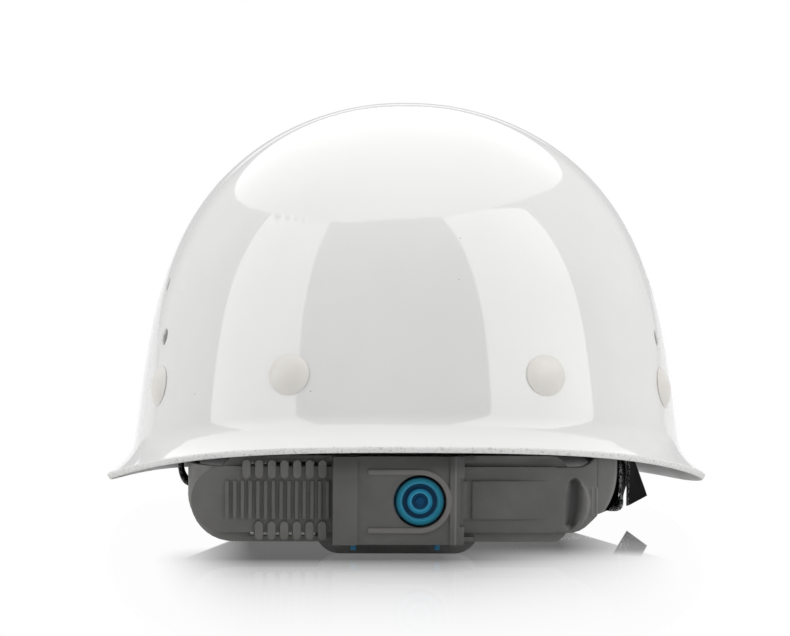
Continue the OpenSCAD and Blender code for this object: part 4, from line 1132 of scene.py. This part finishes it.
def make_floor():
    """Polished white floor: white where the camera sees it, with the helmet's fading mirror image in it."""
    material, tree, shader = new_material("floor_white", Base_Color=(0.88, 0.88, 0.88), Roughness=0.3)
    mirror = add(tree, "BsdfGlossy", Color=(0.97, 0.97, 0.97), Roughness=0.02)
    glow = add(tree, "Emission", Color=(1, 1, 1), Strength=1.0)
    share = place_group(tree, make_floor_mask())["Share"]
    grazing = ramp(add(tree, "LayerWeight").outputs["Facing"], 0.74, 0.83)
    seen = add(tree, "MixShader", i0=times(share, grazing), i1=glow.outputs[0], i2=mirror.outputs[0])
    mixed = add(tree, "MixShader", i0=add(tree, "LightPath").outputs["Is Camera Ray"], i1=shader.outputs[0],
                i2=seen.outputs[0])
    feed(tree.nodes["Material Output"], Surface=mixed.outputs[0])
    size = 6.0
    floor = new_piece("floor", [(-size, -size, 0), (size, -size, 0), (size, size, 0), (-size, size, 0)],
                      [(0, 1, 2, 3)], [material], smooth=False)


def make_ceiling_board(place, width, depth):
    """Unlit oval board just above the overhead lamp, so that nothing shows through the lamp in the gloss."""
    material, tree, shader = new_material("board_black", Base_Color=(0.0, 0.0, 0.0), Specular_IOR_Level=0.0)
    steps, above = 96, 0.002
    ring = [(place[0] + width / 2 * cos(2 * pi * i / steps), place[1] + depth / 2 * sin(2 * pi * i / steps),
             place[2] + above) for i in range(steps)]
    board = new_piece("ceiling_board", ring, [tuple(range(steps))], [material], smooth=False)
    board.visible_camera = False


def make_lamp(name, shape, place, axes, width, height, radiance):
    """A soft lamp of an even brightness; axes are its width's and its height's directions."""
    lamp = bpy.data.lights.new(name, "AREA")
    lamp.shape = shape
    lamp.size, lamp.size_y = width, height
    lamp.energy = radiance * pi * width * height * (pi / 4 if shape == "ELLIPSE" else 1)
    across = Vector(axes[0]).normalized()
    back = across.cross(Vector(axes[1])).normalized()
    turn = Matrix((across, back.cross(across), back)).transposed().to_4x4()
    place_object(name, lamp).matrix_world = Matrix.Translation(place) @ turn


def make_panel(name, foot, axes, width, heights, radiance):
    """An upright panel of lamps side by side, whose top steps down along its width."""
    across, up = Vector(axes[0]).normalized(), Vector(axes[1]).normalized()
    share = width / len(heights)
    for i, height in enumerate(heights):
        place = Vector(foot) + across * (share * (i + 0.5) - width / 2) + up * height / 2
        make_lamp(f"{name}_{i + 1}", "RECTANGLE", place, axes, share, height, radiance)


def make_world():
    """White surroundings for the camera; greyer round the helmet, with a white backdrop behind it."""
    world = bpy.data.worlds.new("white_studio")
    bpy.context.scene.world = world
    world.use_nodes = True
    tree = world.node_tree
    tree.nodes.clear()
    x, y, z = coordinates(tree, "Generated")
    dim = plus(times(ramp(y, -0.7, 0.6), 0.43), plus(times(ramp(x, 0.4, 0.9), 0.03), 0.33))
    shaded = mix(ramp(y, 0.86, 0.96), dim, 0.66)
    low_band = times(ramp(z, 0.100, 0.112), falloff(z, 0.160, 0.175))
    lit = mix(times(low_band, ramp(y, 0.970, 0.980)), shaded, 1.03)
    strength = mix(add(tree, "LightPath").outputs["Is Camera Ray"], lit, 1.0)
    back = add(tree, "Background", Color=(1, 1, 1), Strength=strength)
    add(tree, "OutputWorld", Surface=back.outputs[0])


def make_camera():
    place = Vector((-0.0788, -1.9086, 0.2534))
    turn_right, look_down, roll = radians(2.256), radians(5.42), radians(-0.432)
    focal_pixels, picture_width, sensor = 5171, 790, 36
    ahead = Vector((sin(turn_right) * cos(look_down), cos(turn_right) * cos(look_down), -sin(look_down)))
    right = Vector((cos(turn_right), -sin(turn_right), 0))
    up = right.cross(ahead)
    side = right * cos(roll) - up * sin(roll)
    top = right * sin(roll) + up * cos(roll)
    camera = bpy.data.cameras.new("camera")
    camera.sensor_width = sensor
    camera.lens = focal_pixels / picture_width * sensor
    camera.clip_end = 50
    holder = place_object("camera", camera)
    holder.matrix_world = Matrix.Translation(place) @ Matrix((side, top, -ahead)).transposed().to_4x4()
    bpy.context.scene.camera = holder


make_floor()
make_ceiling_board(CEILING, CEILING_WIDTH, CEILING_DEPTH)
make_lamp("overhead_softbox", "ELLIPSE", CEILING, ((1, 0, 0), (0, 1, 0)), CEILING_WIDTH, CEILING_DEPTH,
          radiance=1.38)
make_panel("left_panel", (-0.635, -0.525, 0.123), ((-0.203, -0.944, 0.259), (0.026, 0.259, 0.965)), 0.924,
           [0.715, 0.80, 0.89, 0.985, 1.09, 1.20, 1.315, 1.43, 1.55, 1.67],
           radiance=1.18)
make_panel("right_panel", (0.856, -0.707, 0.138), ((0.805, 0.590, -0.062), (-0.112, 0.253, 0.961)), 1.102,
           [1.80], radiance=1.42)
make_world()
make_camera()
bpy.context.scene.view_settings.view_transform = "Standard"
